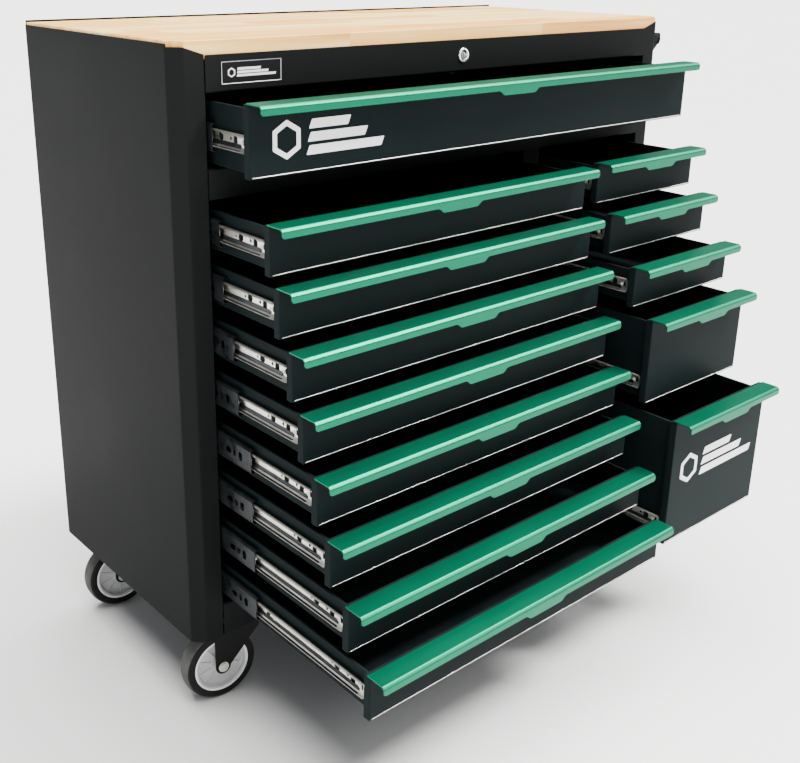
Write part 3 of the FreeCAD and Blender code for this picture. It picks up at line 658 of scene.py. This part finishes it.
def like_size(low, high):
    """A key that pieces of one width and height share."""
    return round(high.x - low.x, 4), round(high.z - low.z, 4)


def make_alike(kind, make, nodes, slot, finish):
    """For every drawer, a piece made to its node's box: one for each width and height, and copies."""
    made, pieces = {}, {}
    for name in drawers:
        low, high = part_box(nodes + name)
        first, corner = made.get(like_size(low, high), (None, None))
        if first:
            pieces[name] = copy_piece(first, kind + name, low - corner)
        else:
            pieces[name] = make(kind + name, low, high)
            made[like_size(low, high)] = pieces[name], low
    for name, piece in pieces.items():
        fit(piece, "drawer_" + name, slot, finish, nodes + name)


make_alike("tray_", press_tray, "drawer_", "drawer_black", drawer_black)

# --- Drawer fronts --------------------------------------------------------------------------------
# Each front is a shallow pan of sheet steel, open at the back, welded to its tray. A slim half-round
# bead runs as a lip along its bottom edge; its bright zinc finish is a painted highlight for the
# light that the bottom hem catches.


def press_front(name, low, high):
    """The pan: its open edges are at the back, and the bottom one is turned up inside."""
    panel = start_block(name, low, (high.x, low.y + 0.012, high.z))
    pick("FACE", lambda face, spot: face.normal.y > 0.9)
    bpy.ops.mesh.delete(type="FACE")
    pick("EDGE", lambda edge, spot: len(edge.link_faces) == 2)
    round_off(0.0016, 3)
    pick("EDGE", lambda edge, spot: len(edge.link_faces) == 1 and spot.z < low.z + 0.001)
    draw_out((0, 0, 0.005))
    return thicken(panel, SHEET)


def draw_highlight_bead(name, low, high):
    """A half-round bead along the foot of a front; its bright zinc finish is a painted highlight."""
    let_go()
    bpy.ops.mesh.primitive_cylinder_add(
        vertices=12, radius=0.0006, depth=high.x - low.x - 0.008, rotation=(0, math.pi / 2, 0),
        location=((low.x + high.x) / 2, low.y + 0.0003, low.z + 0.0024))
    bead = settle(name)
    pick("FACE", lambda face, spot: abs(face.normal.x) > 0.9)
    round_off(0.0004, 1)
    return bead


make_alike("front_", press_front, "drawer_", "drawer_black", drawer_black)
# The beads take the bright zinc finish as a painted highlight.
make_alike("bead_", draw_highlight_bead, "drawer_", "slide_zinc", slide_zinc)

# --- Pull strips ----------------------------------------------------------------------------------
# A green strip of folded aluminium caps each front: a flange over its top edge, a bevelled nose and
# a lip, with a wider tab in the middle to pull by. Satin, with fine lines along its length.

pull_green, place = start_finish("pull_green", Metallic=0.75, Specular_IOR_Level=0.1)
lines = place.stretched(3, 900, 900).noise(1.0, 2)
cloud = place.noise(9, 3)
end_finish(pull_green,
           Base_Color=(0.5 * lines + 0.5 * cloud).between((0.0, 0.110, 0.056, 1), (0.0, 0.145, 0.078, 1)),
           Roughness=0.30 + 0.10 * cloud + 0.05 * lines, Normal=lines.relief(0.00004, 0.25))


def fold_pull(name, low, high):
    """A strip, its tab drawn down out of the middle of the lip and narrowed to its foot."""
    tab_drop, tab_half, tab_foot_half, bevel = 0.007, 0.043, 0.035, 0.004
    lip_foot = low.z + tab_drop
    strip = fold(name, [(low.x, high.y, high.z), (low.x, low.y + bevel, high.z),
                        (low.x, low.y, high.z - bevel), (low.x, low.y, lip_foot)],
                 (high.x - low.x, 0, 0), 0.0012)
    centre = (low.x + high.x) / 2
    for side in (-tab_half, tab_half):
        pick("FACE", lambda face, spot: face.normal.y < -0.98)
        bpy.ops.mesh.bisect(plane_co=(centre + side, 0, 0), plane_no=(1, 0, 0))
    pick("EDGE", lambda edge, spot: len(edge.link_faces) == 1 and abs(spot.x - centre) < 0.001
         and spot.z < lip_foot + CLOSE)
    draw_out((0, 0, -tab_drop))
    bpy.ops.transform.resize(value=(tab_foot_half / tab_half, 1, 1), center_override=(centre, low.y, low.z))
    pick("VERT", lambda corner, spot: spot.z < lip_foot + CLOSE and abs(spot.x - centre) < tab_half + CLOSE)
    round_off(0.003, 3, "VERTICES")
    pick("VERT", lambda corner, spot: spot.z < lip_foot + CLOSE
         and (spot.x < low.x + CLOSE or spot.x > high.x - CLOSE))
    round_off(0.004, 4, "VERTICES")
    thicken(strip, 0.002)
    return ease(strip, 0.0004, 2)


make_alike("pull_strip_", fold_pull, "pull_", "pull_green", pull_green)

# --- White motif ----------------------------------------------------------------------------------
# A plain motif of a hexagon nut and three slanted bars is printed in white on the full-width drawer
# and on the deepest one. It stands a hair proud of the paint.


def mottle(name, first, second, noise, span, rough, pits=None, **even):
    """A finish whose colour and roughness change together over a noise's span, and whose skin may be
    pitted: rough is (least, more), pits are (noise scale, depth, strength)."""
    finish, place = start_finish(name, **even)
    drift = place.noise(*noise).part(*span)
    uneven = {"Base_Color": drift.between(first, second), "Roughness": rough[0] + rough[1] * drift}
    if pits:
        uneven["Normal"] = place.noise(pits[0], 2).relief(*pits[1:])
    return end_finish(finish, **uneven)


print_white = mottle("print_white", (0.92, 0.92, 0.91, 1), (0.80, 0.80, 0.79, 1),
                     (1400, 2), (0.3, 0.7), (0.42, 0.12), Specular_IOR_Level=0.4)
PRINT = 0.00015


def print_bar(left, right, foot, head, face, lean):
    """A flat bar, its ends slanted by lean."""
    bar = start_block("bar", (left, face - PRINT, foot), (right, face + PRINT, head))
    pick("VERT", lambda corner, spot: spot.z > (foot + head) / 2)
    bpy.ops.transform.translate(value=(lean, 0, 0))
    pick_along(1)
    round_off((head - foot) * 0.12, 3)
    return bar


def print_motif(name, left, foot, length, tall, face):
    """A nut's outline, then three bars that grow shorter upward, this long and tall in all."""
    let_go()
    radius = tall / 2
    centre = (left + radius, face - PRINT, foot + radius)
    bpy.ops.mesh.primitive_circle_add(vertices=6, radius=radius, fill_type="NGON", location=centre,
                                      rotation=(math.pi / 2, 0, 0))
    nut = settle("nut")
    bpy.ops.mesh.inset(thickness=radius * 0.26)
    bpy.ops.mesh.delete(type="FACE")
    bpy.ops.mesh.select_all(action="SELECT")
    round_off(radius * 0.05, 2, "VERTICES")
    thicken(nut, PRINT * 2)
    pitch = tall / 3
    start, gap = left + tall * 1.12, pitch * 0.14
    bars = [print_bar(start + 0.12 * pitch * step, left + length - step * length * 0.16,
                      foot + pitch * step + gap, foot + pitch * (step + 1) - gap, face, pitch * 0.3)
            for step in range(3)]
    return put_together(name, [nut] + bars)


for name, drawer, in_from_left, up, length, tall in (
        ("motif_top", "drawer_top", 0.033, 0.021, 0.190, 0.052),
        ("motif_deep", "drawer_right_5", 0.024, 0.103, 0.220, 0.056)):
    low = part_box(drawer)[0]
    fit(print_motif(name, low.x + in_from_left, low.z + up, length, tall, low.y), drawer,
        "drawer_black", print_white)

# --- Badge plate ----------------------------------------------------------------------------------
# A small black plate with a raised white border sits at the left of the header, with the same plain
# motif in white. It is bonded on.

badge_low = Vector((-0.453, front_low.y - 0.0012, 0.997))
badge_high = Vector((-0.356, front_low.y, 1.026))
BORDER = 0.0014
fit_shell(ease(start_block("badge_plate", badge_low, badge_high), 0.0005))
rim = start_block("badge_border", badge_low - Vector((0, 0.0004, 0)), badge_high - Vector((0, 0.0006, 0)))
pick("FACE", lambda face, spot: face.normal.y < -0.9)
bpy.ops.mesh.inset(thickness=BORDER)
bpy.ops.transform.translate(value=(0, 0.0009, 0))
badge_black = powder_coat("badge_black", (0.008, 0.008, 0.009, 1), (0.012, 0.012, 0.013, 1), 0.25)
inlay = start_block("badge_inlay", badge_low + Vector((BORDER, -0.0002, BORDER)),
                    badge_high - Vector((BORDER, 0.0004, BORDER)))
ease(inlay, 0.0002, 1)
fit(inlay, "cabinet", "shell_black", badge_black)
fit(rim, "cabinet", "shell_black", print_white)
fit(print_motif("motif_badge", badge_low.x + 0.009, badge_low.z + 0.008, 0.078, 0.013, badge_low.y - 0.0003),
    "cabinet", "shell_black", print_white)

# --- Lock -----------------------------------------------------------------------------------------
# A cylinder lock in the middle of the header: a chromed bezel and barrel held by a nut behind, and
# a duller steel plug with a key slot, which turns with its flat cam.


def turn_rings(name, rings, centre, sides=64, solid=False):
    """A piece turned about the Y axis through centre: rings are (radius, distance along Y), each one
    drawn out from the last. A hollow piece ends on the ring it began with."""
    let_go()
    bpy.context.tool_settings.mesh_select_mode = (True, False, False)
    centre = Vector(centre)
    radius, along = rings[0]
    bpy.ops.mesh.primitive_circle_add(
        vertices=sides, radius=radius, fill_type="NGON" if solid else "NOTHING",
        location=centre + Vector((0, along, 0)), rotation=(math.pi / 2, 0, 0))
    piece = settle(name)
    for (first, start), (second, end) in zip(rings, rings[1:]):
        draw_out((0, end - start, 0))
        scale = second / first
        bpy.ops.transform.resize(value=(scale, 1, scale), center_override=centre)
    bpy.ops.mesh.select_all(action="SELECT")
    bpy.ops.mesh.remove_doubles(threshold=0.000002)
    face_out()
    let_go()
    return piece


lock_chrome = mottle("lock_chrome", (0.86, 0.86, 0.87, 1), (0.74, 0.74, 0.75, 1),
                     (220, 4, 0.6), (0.4, 0.75), (0.10, 0.12), Metallic=1.0)
plug_low, plug_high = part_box("lock_plug")
bezel = turn_rings("lock_bezel", [
    (0.0062, 0.0022), (0.0075, 0.0016), (0.0082, 0.0002), (0.0104, 0), (0.0113, 0.0009), (0.0115, 0.003),
    (0.0095, 0.003), (0.0095, 0.025), (0.0062, 0.025), (0.0062, 0.0022)], lock_centre)
fit(bezel, "cabinet", "lock_chrome", lock_chrome, "lock_housing")
nut = turn_rings("lock_nut", [(0.0096, 0.0044), (0.0140, 0.0044), (0.0140, 0.0084),
                              (0.0096, 0.0084), (0.0096, 0.0044)], lock_centre, 6)
ease(nut, 0.0004)
fit(nut, "cabinet", "lock_chrome", lock_chrome)
lock_steel = mottle("lock_steel", (0.26, 0.26, 0.27, 1), (0.17, 0.17, 0.18, 1),
                    (160, 3), (0.35, 0.7), (0.24, 0.12), Metallic=1.0)
plug = turn_rings("lock_core", [(0.0050, 0.0018), (0.0056, 0.0024), (0.0060, 0.0255), (0.0050, 0.0273)],
                  lock_centre, 40, True)
punch(plug, start_block("key_slot", (-0.00075, lock_low.y - OVER, lock_centre[2] - 0.0035),
                        (0.00075, lock_low.y + 0.008, lock_centre[2] + 0.0035)))
cam = start_block("lock_cam", (-0.006, plug_high.y - 0.002, plug_low.z),
                  (0.006, plug_high.y, lock_centre[2] + 0.006))
pick_along(1)
round_off(0.004, 4)
plug = put_together("lock_core", [plug, cam])
fit(plug, "lock_plug", "lock_chrome", lock_steel, "lock_plug")

# --- Push handle ----------------------------------------------------------------------------------
# A round bar on the right side, from front to back, between two moulded arms that sweep out and up
# from the wall. Black, semi-matt.

fitting_black = powder_coat("fitting_black", (0.012, 0.012, 0.0125, 1), (0.018, 0.018, 0.0185, 1), 0.42)
ARM = 0.014
handle_low, handle_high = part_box("push_handle")
bar_x, bar_z = handle_high.x - 0.010, handle_low.z + 0.031
bar_end = [(0.0075, 0.0138), (0.0095, 0.0150), (0.0095, 0.030), (0.0088, 0.0306)]
bar = turn_rings("handle_bar", [(radius, handle_low.y + along) for radius, along in bar_end]
                 + [(radius, handle_high.y - along) for radius, along in reversed(bar_end)],
                 (bar_x, 0, bar_z), 40, True)
fit(bar, "cabinet", "fitting_black", fitting_black, "push_handle")
arm = fold("handle_arm", [
    (handle_low.x + 0.0005, 0, handle_low.z), (handle_low.x + 0.010, 0, handle_low.z + 0.0015),
    (handle_low.x + 0.022, 0, handle_low.z + 0.0110), (handle_low.x + 0.0325, 0, handle_low.z + 0.0210),
    (handle_high.x - 0.0005, 0, handle_low.z + 0.0320), (handle_high.x - 0.0010, 0, handle_high.z - 0.001)],
    (0, ARM, 0), 0.006, 4)
bpy.ops.mesh.select_all(action="SELECT")
bpy.ops.mesh.flip_normals()
thicken(arm, 0.010)
ease(arm, 0.003, 3, 60)
foot = start_block("handle_foot", (handle_low.x, 0, handle_low.z),
                   (handle_low.x + 0.004, ARM, handle_high.z))
round_off(0.0015, 2)
arm = put_together("handle_arm", [arm, foot, turn_rings("handle_boss", [
    (0.0085, 0.0), (0.0100, 0.0012), (0.0100, ARM - 0.0012), (0.0085, ARM)], (bar_x, 0, bar_z), 32, True)])
for end, near in (("front", handle_low.y), ("rear", handle_high.y - ARM)):
    fit(copy_piece(arm, "handle_arm_" + end, (0, near, 0)), "cabinet", "fitting_black",
        fitting_black, "push_handle")
bpy.data.objects.remove(arm)

# --- Casters --------------------------------------------------------------------------------------
# Four 125 mm casters under the corners, each plate held by four hex bolts through the pan. The left
# pair swivel on a double race and trail outward, the right pair are rigid. Pressed black forks, and
# black rubber tyres, lighter grey on the tread, on grey moulded cores with zinc bolts. A white ring
# round each core's rim is a painted highlight for the bright highlight along that rim.

wheel_rubber = mottle("wheel_rubber", (0.0075, 0.0075, 0.008, 1), (0.018, 0.0175, 0.017, 1),
                      (90, 5, 0.65), (0.4, 0.8), (0.55, 0.2), (1500, 0.0001, 0.3), Specular_IOR_Level=0.12)
# The tread is a lighter grey than the tyre's sides.
tread_grey = mottle("tread_grey", (0.055, 0.055, 0.056, 1), (0.11, 0.108, 0.104, 1),
                    (70, 5, 0.65), (0.3, 0.8), (0.7, 0.15), (1200, 0.0001, 0.4), Specular_IOR_Level=0.2)
core_grey = mottle("core_grey", (0.44, 0.45, 0.45, 1), (0.54, 0.545, 0.54, 1),
                   (60, 3), (0, 1), (0.42, 0.15), (700, 0.00008, 0.25), Specular_IOR_Level=0.4)
# White for the ring at the core's rim: a painted highlight.
edge_white, place = start_finish("edge_white", Specular_IOR_Level=0.5)
end_finish(edge_white, Base_Color=place.noise(200, 3).between((0.95, 0.95, 0.94, 1), (0.88, 0.88, 0.87, 1)),
           Roughness=0.34 + 0.1 * place.noise(60, 2))


def turn_wheel(name, half):
    """A hollow piece that is the same on both sides: half its rings, from one side to the middle."""
    rings = half + [(radius, -along) for radius, along in reversed(half)] + half[:1]
    return turn_rings(name, rings, (0, 0, 0), 96)


RADIUS = 0.0625
tyre = turn_wheel("tyre", [(0.0472, -0.0150), (0.0500, -0.0160), (0.0560, -0.0160),
                           (0.0595, -0.0142), (0.0615, -0.0110), (RADIUS, -0.0060)])
tyre.data.materials.append(wheel_rubber)
tyre.data.materials.append(tread_grey)
take(tyre)
bpy.ops.object.mode_set(mode="EDIT")
pick("FACE", lambda face, spot: math.hypot(spot.x, spot.z) > 0.0598)
tyre.active_material_index = 1
bpy.ops.object.material_slot_assign()
let_go()
# The ring at the core's rim, which carries the painted highlight.
edge = turn_wheel("wheel_edge", [(0.0440, -0.0146), (0.0445, -0.0158), (0.0470, -0.0158),
                                 (0.0474, -0.0146)])
core = turn_wheel("wheel_core", [
    (0.00605, -0.0187), (0.0120, -0.0187), (0.0138, -0.0170), (0.0145, -0.0090), (0.0180, -0.0072),
    (0.0385, -0.0072), (0.0410, -0.0095), (0.0415, -0.0140), (0.0440, -0.0140)])
ribs, RIBS = [], 10
for step in range(RIBS):
    rib = start_block("rib", (-0.0010, -0.0085, 0.0140), (0.0010, 0.0085, 0.0405))
    round_off(0.0004, 1)
    ribs.append(set_down(rib, (0, 0, 0), (0, step * math.tau / RIBS, 0)))
core = put_together("wheel_core", [core] + ribs)

LEG, TRAIL = 0.003, -0.029
OUT = 0.019 + LEG


def press_fork(name, axle_x, crown_left, crown_right, crown_top):
    """A pressed fork about the kingpin: the round foot of one leg is drawn up to the crown and over
    to the middle, mirrored for the other leg, then given its gauge."""
    let_go()
    foot_radius, middle_x, shoulder = 0.0130, (crown_left + crown_right) / 2, crown_top - 0.020
    bpy.ops.mesh.primitive_circle_add(vertices=32, radius=foot_radius, fill_type="NGON",
                                      location=(axle_x, -OUT, RADIUS), rotation=(math.pi / 2, 0, 0))
    leg = settle(name)
    pick("EDGE", lambda edge, spot: len(edge.link_faces) == 1 and spot.z > RADIUS)
    draw_out((middle_x - axle_x, 0, shoulder - RADIUS))
    bpy.ops.transform.resize(value=((crown_right - crown_left) / foot_radius / 2, 1, 0),
                             center_override=(middle_x, 0, shoulder))
    draw_out((0, 0, crown_top - shoulder))
    draw_out((0, OUT, 0))
    face_out()
    mesh = bmesh.from_edit_mesh(leg.data)
    crown = max(mesh.faces, key=lambda face: middle(face).z)
    if crown.normal.z < 0:
        bpy.ops.mesh.flip_normals()
    work(leg, "MIRROR", use_axis=(False, True, False), merge_threshold=0.0001)
    bpy.ops.object.mode_set(mode="EDIT")
    pick("EDGE", lambda edge, spot: spot.z > crown_top - CLOSE and abs(abs(spot.y) - OUT) < CLOSE)
    round_off(0.005, 4)
    thicken(leg, LEG)
    return ease(leg, 0.0006)


def axle_bolt(name, axle_x):
    """The axle: a domed round head, a washer on each side and a locking nut."""
    centre, washer = (axle_x, 0, RADIUS), OUT + 0.0012
    parts = [turn_rings(name, [
        (0.0045, -OUT - 0.0048), (0.0065, -OUT - 0.0040), (0.0068, -washer), (0.0060, -OUT - 0.0010),
        (0.0060, OUT + 0.0045), (0.0050, OUT + 0.005)], centre, 32, True)]
    for side in (-1, 1):
        parts.append(turn_rings("washer", [
            (0.0061, side * OUT), (0.0088, side * OUT), (0.0088, side * washer),
            (0.0061, side * washer), (0.0061, side * OUT)], centre, 40))
    parts.append(turn_rings("axle_nut", [
        (0.0061, washer), (0.0082, washer), (0.0082, OUT + 0.0046), (0.0070, OUT + 0.0050),
        (0.0061, OUT + 0.0050), (0.0061, washer)], centre, 6))
    return put_together(name, parts)


joints = {joint["name"]: joint for joint in frame["record"]["behaviour"]["joints"]}
PLATE = 0.003
UPRIGHT_TURN = (math.pi / 2, 0, 0)
plate_top = front_low.z
crown_bottom = 2 * RADIUS + 0.011
crown_top = crown_bottom + 0.004
swivel_fork = press_fork("swivel_fork", TRAIL, -0.042, 0.037, crown_top)
race = turn_rings("race", [(0.018, 0.0), (0.026, 0.0), (0.027, 0.0014), (0.0255, 0.0030), (0.027, 0.0046),
                           (0.026, 0.0064), (0.018, 0.0064), (0.018, 0.0)], (0, 0, 0), 64)
set_down(race, (0, 0, crown_top + 0.0001), UPRIGHT_TURN)
swivel_fork = put_together("swivel_fork", [swivel_fork, race])
rigid_fork = press_fork("rigid_fork", 0.0, -0.028, 0.028, plate_top - PLATE)
swivel_bolt, rigid_bolt = axle_bolt("swivel_bolt", TRAIL), axle_bolt("rigid_bolt", 0.0)
kingpin = turn_rings("kingpin", [(0.0045, 0.0), (0.0088, 0.0006), (0.0090, 0.0034), (0.0050, 0.0036),
                                 (0.0050, 0.0140), (0.0045, 0.0144)], (0, 0, 0), 32, True)
set_down(kingpin, (0, 0, crown_bottom - 0.0035), UPRIGHT_TURN)

plate = start_block("caster_plate", (-0.0475, -0.032, plate_top - PLATE), (0.0475, 0.032, plate_top))
pick_along(2)
round_off(0.008, 4)
ease(plate, 0.0006)

# A bolt is a hex head and washer under the plate, and a nut over the pan.
bolt_parts = []
for across, low, high, sides in ((0.0075, -0.0083, -0.0038, 6), (0.0085, -0.0040, -0.0030, 32),
                                 (0.0075, 0.0020, 0.0070, 6)):
    bolt_parts.append(turn_rings("plate_bolt", [
        (across * 0.9, low), (across, low + 0.0004), (across, high - 0.0004), (across * 0.9, high)],
        (0, 0, 0), sides, True))
first_bolt = set_down(put_together("plate_bolt", bolt_parts), (0, 0, plate_top), UPRIGHT_TURN)

for corner in ("front_left", "rear_left", "front_right", "rear_right"):
    roll = joints["roll_" + corner]
    swivels = "left" in corner
    if swivels:
        pin = joints["swivel_" + corner]["pos_m"]
        spin = math.atan2(-roll["axis"][0], roll["axis"][1])
    else:
        pin, spin = roll["pos_m"], 0
    spot = (pin[0], pin[1], 0)
    fork_body = "fork_" + corner if swivels else "cabinet"
    fork_node = "caster_fork_" + corner if swivels else "caster_brackets"
    fit(copy_piece(plate, "caster_plate_" + corner, spot), "cabinet", "fitting_black", fitting_black,
        "caster_brackets")
    for step, (x, y) in enumerate(((-0.0375, -0.0225), (0.0375, -0.0225),
                                   (-0.0375, 0.0225), (0.0375, 0.0225))):
        bolt_spot = (pin[0] + x, pin[1] + y, 0)
        fit(copy_piece(first_bolt, f"plate_bolt_{corner}_{step}", bolt_spot, angle=0.3 * step), "cabinet",
            "slide_zinc", slide_zinc, "caster_brackets")
    fit(copy_piece(swivel_fork if swivels else rigid_fork, "fork_" + corner, spot, angle=spin), fork_body,
        "fitting_black", fitting_black, fork_node)
    fit(copy_piece(swivel_bolt if swivels else rigid_bolt, "axle_bolt_" + corner, spot, angle=spin),
        fork_body, "slide_zinc", slide_zinc, fork_node)
    if swivels:
        fit(copy_piece(kingpin, "kingpin_" + corner, spot), "cabinet",
            "slide_zinc", slide_zinc, "caster_brackets")
    for pattern, name, finish in ((tyre, "tyre_", wheel_rubber), (core, "wheel_core_", core_grey),
                                  (edge, "wheel_edge_", edge_white)):
        fit(copy_piece(pattern, name + corner, roll["pos_m"], angle=spin), "wheel_" + corner,
            "wheel_rubber", finish, "caster_wheel_" + corner)
for pattern in (tyre, core, edge, swivel_fork, rigid_fork, swivel_bolt, rigid_bolt,
                kingpin, plate, first_bolt):
    bpy.data.objects.remove(pattern)

# --- Studio ---------------------------------------------------------------------------------------
# A plain pale floor, an even surround, a wide sun overhead, a narrower one from the right over the
# front that picks out edges, and a broad soft light at the front left, where the camera stands.

bpy.ops.mesh.primitive_plane_add(size=90)
floor = settle("floor")
let_go()
pale, place = start_finish("floor_pale", Specular_IOR_Level=0.1)
end_finish(pale, Base_Color=place.noise(0.8, 2).between((0.74, 0.74, 0.74, 1), (0.78, 0.78, 0.78, 1)),
           Roughness=0.75 + 0.1 * place.noise(6, 3))
floor.data.materials.append(pale)

world = bpy.data.worlds.new("surround")
bpy.context.scene.world = world
world.use_nodes = True
world.node_tree.nodes["Background"].inputs["Color"].default_value = (0.95, 0.97, 1.0, 1)
world.node_tree.nodes["Background"].inputs["Strength"].default_value = 0.35


def hang_light(name, kind, spot, aim, energy, tint, **settings):
    """A light that shines from a spot toward a point."""
    lamp = bpy.data.lights.new(name, kind)
    lamp.energy, lamp.color = energy, tint
    for setting, value in settings.items():
        setattr(lamp, setting, value)
    holder = bpy.data.objects.new(name, lamp)
    bpy.context.scene.collection.objects.link(holder)
    holder.location = spot
    holder.rotation_euler = (Vector(aim) - Vector(spot)).to_track_quat("-Z", "Y").to_euler()


sunlight = (1.0, 0.99, 0.97)
hang_light("overhead", "SUN", (0.1, -0.02, 1), (0, 0, 0), 10, sunlight, angle=math.radians(60))
hang_light("edge_light", "SUN", (0.6, -0.34, 0.72), (0, 0, 0), 8, sunlight, angle=math.radians(14))
hang_light("broad_light", "AREA", (-0.9, -3.0, 2.9), (0, 0, 0.5), 40, (1.0, 0.98, 0.95), size=1.6)

lens = bpy.data.cameras.new("camera")
lens.sensor_width, lens.lens = 36, 47.75
lens.shift_x, lens.shift_y = 0.0573, -0.0873
camera = bpy.data.objects.new("camera", lens)
bpy.context.scene.collection.objects.link(camera)
camera.location = (-1.23624, -1.42537, 1.16675)
camera.rotation_euler = [math.radians(turn) for turn in (71.1887, -0.5894, -39.9895)]
bpy.context.scene.camera = camera
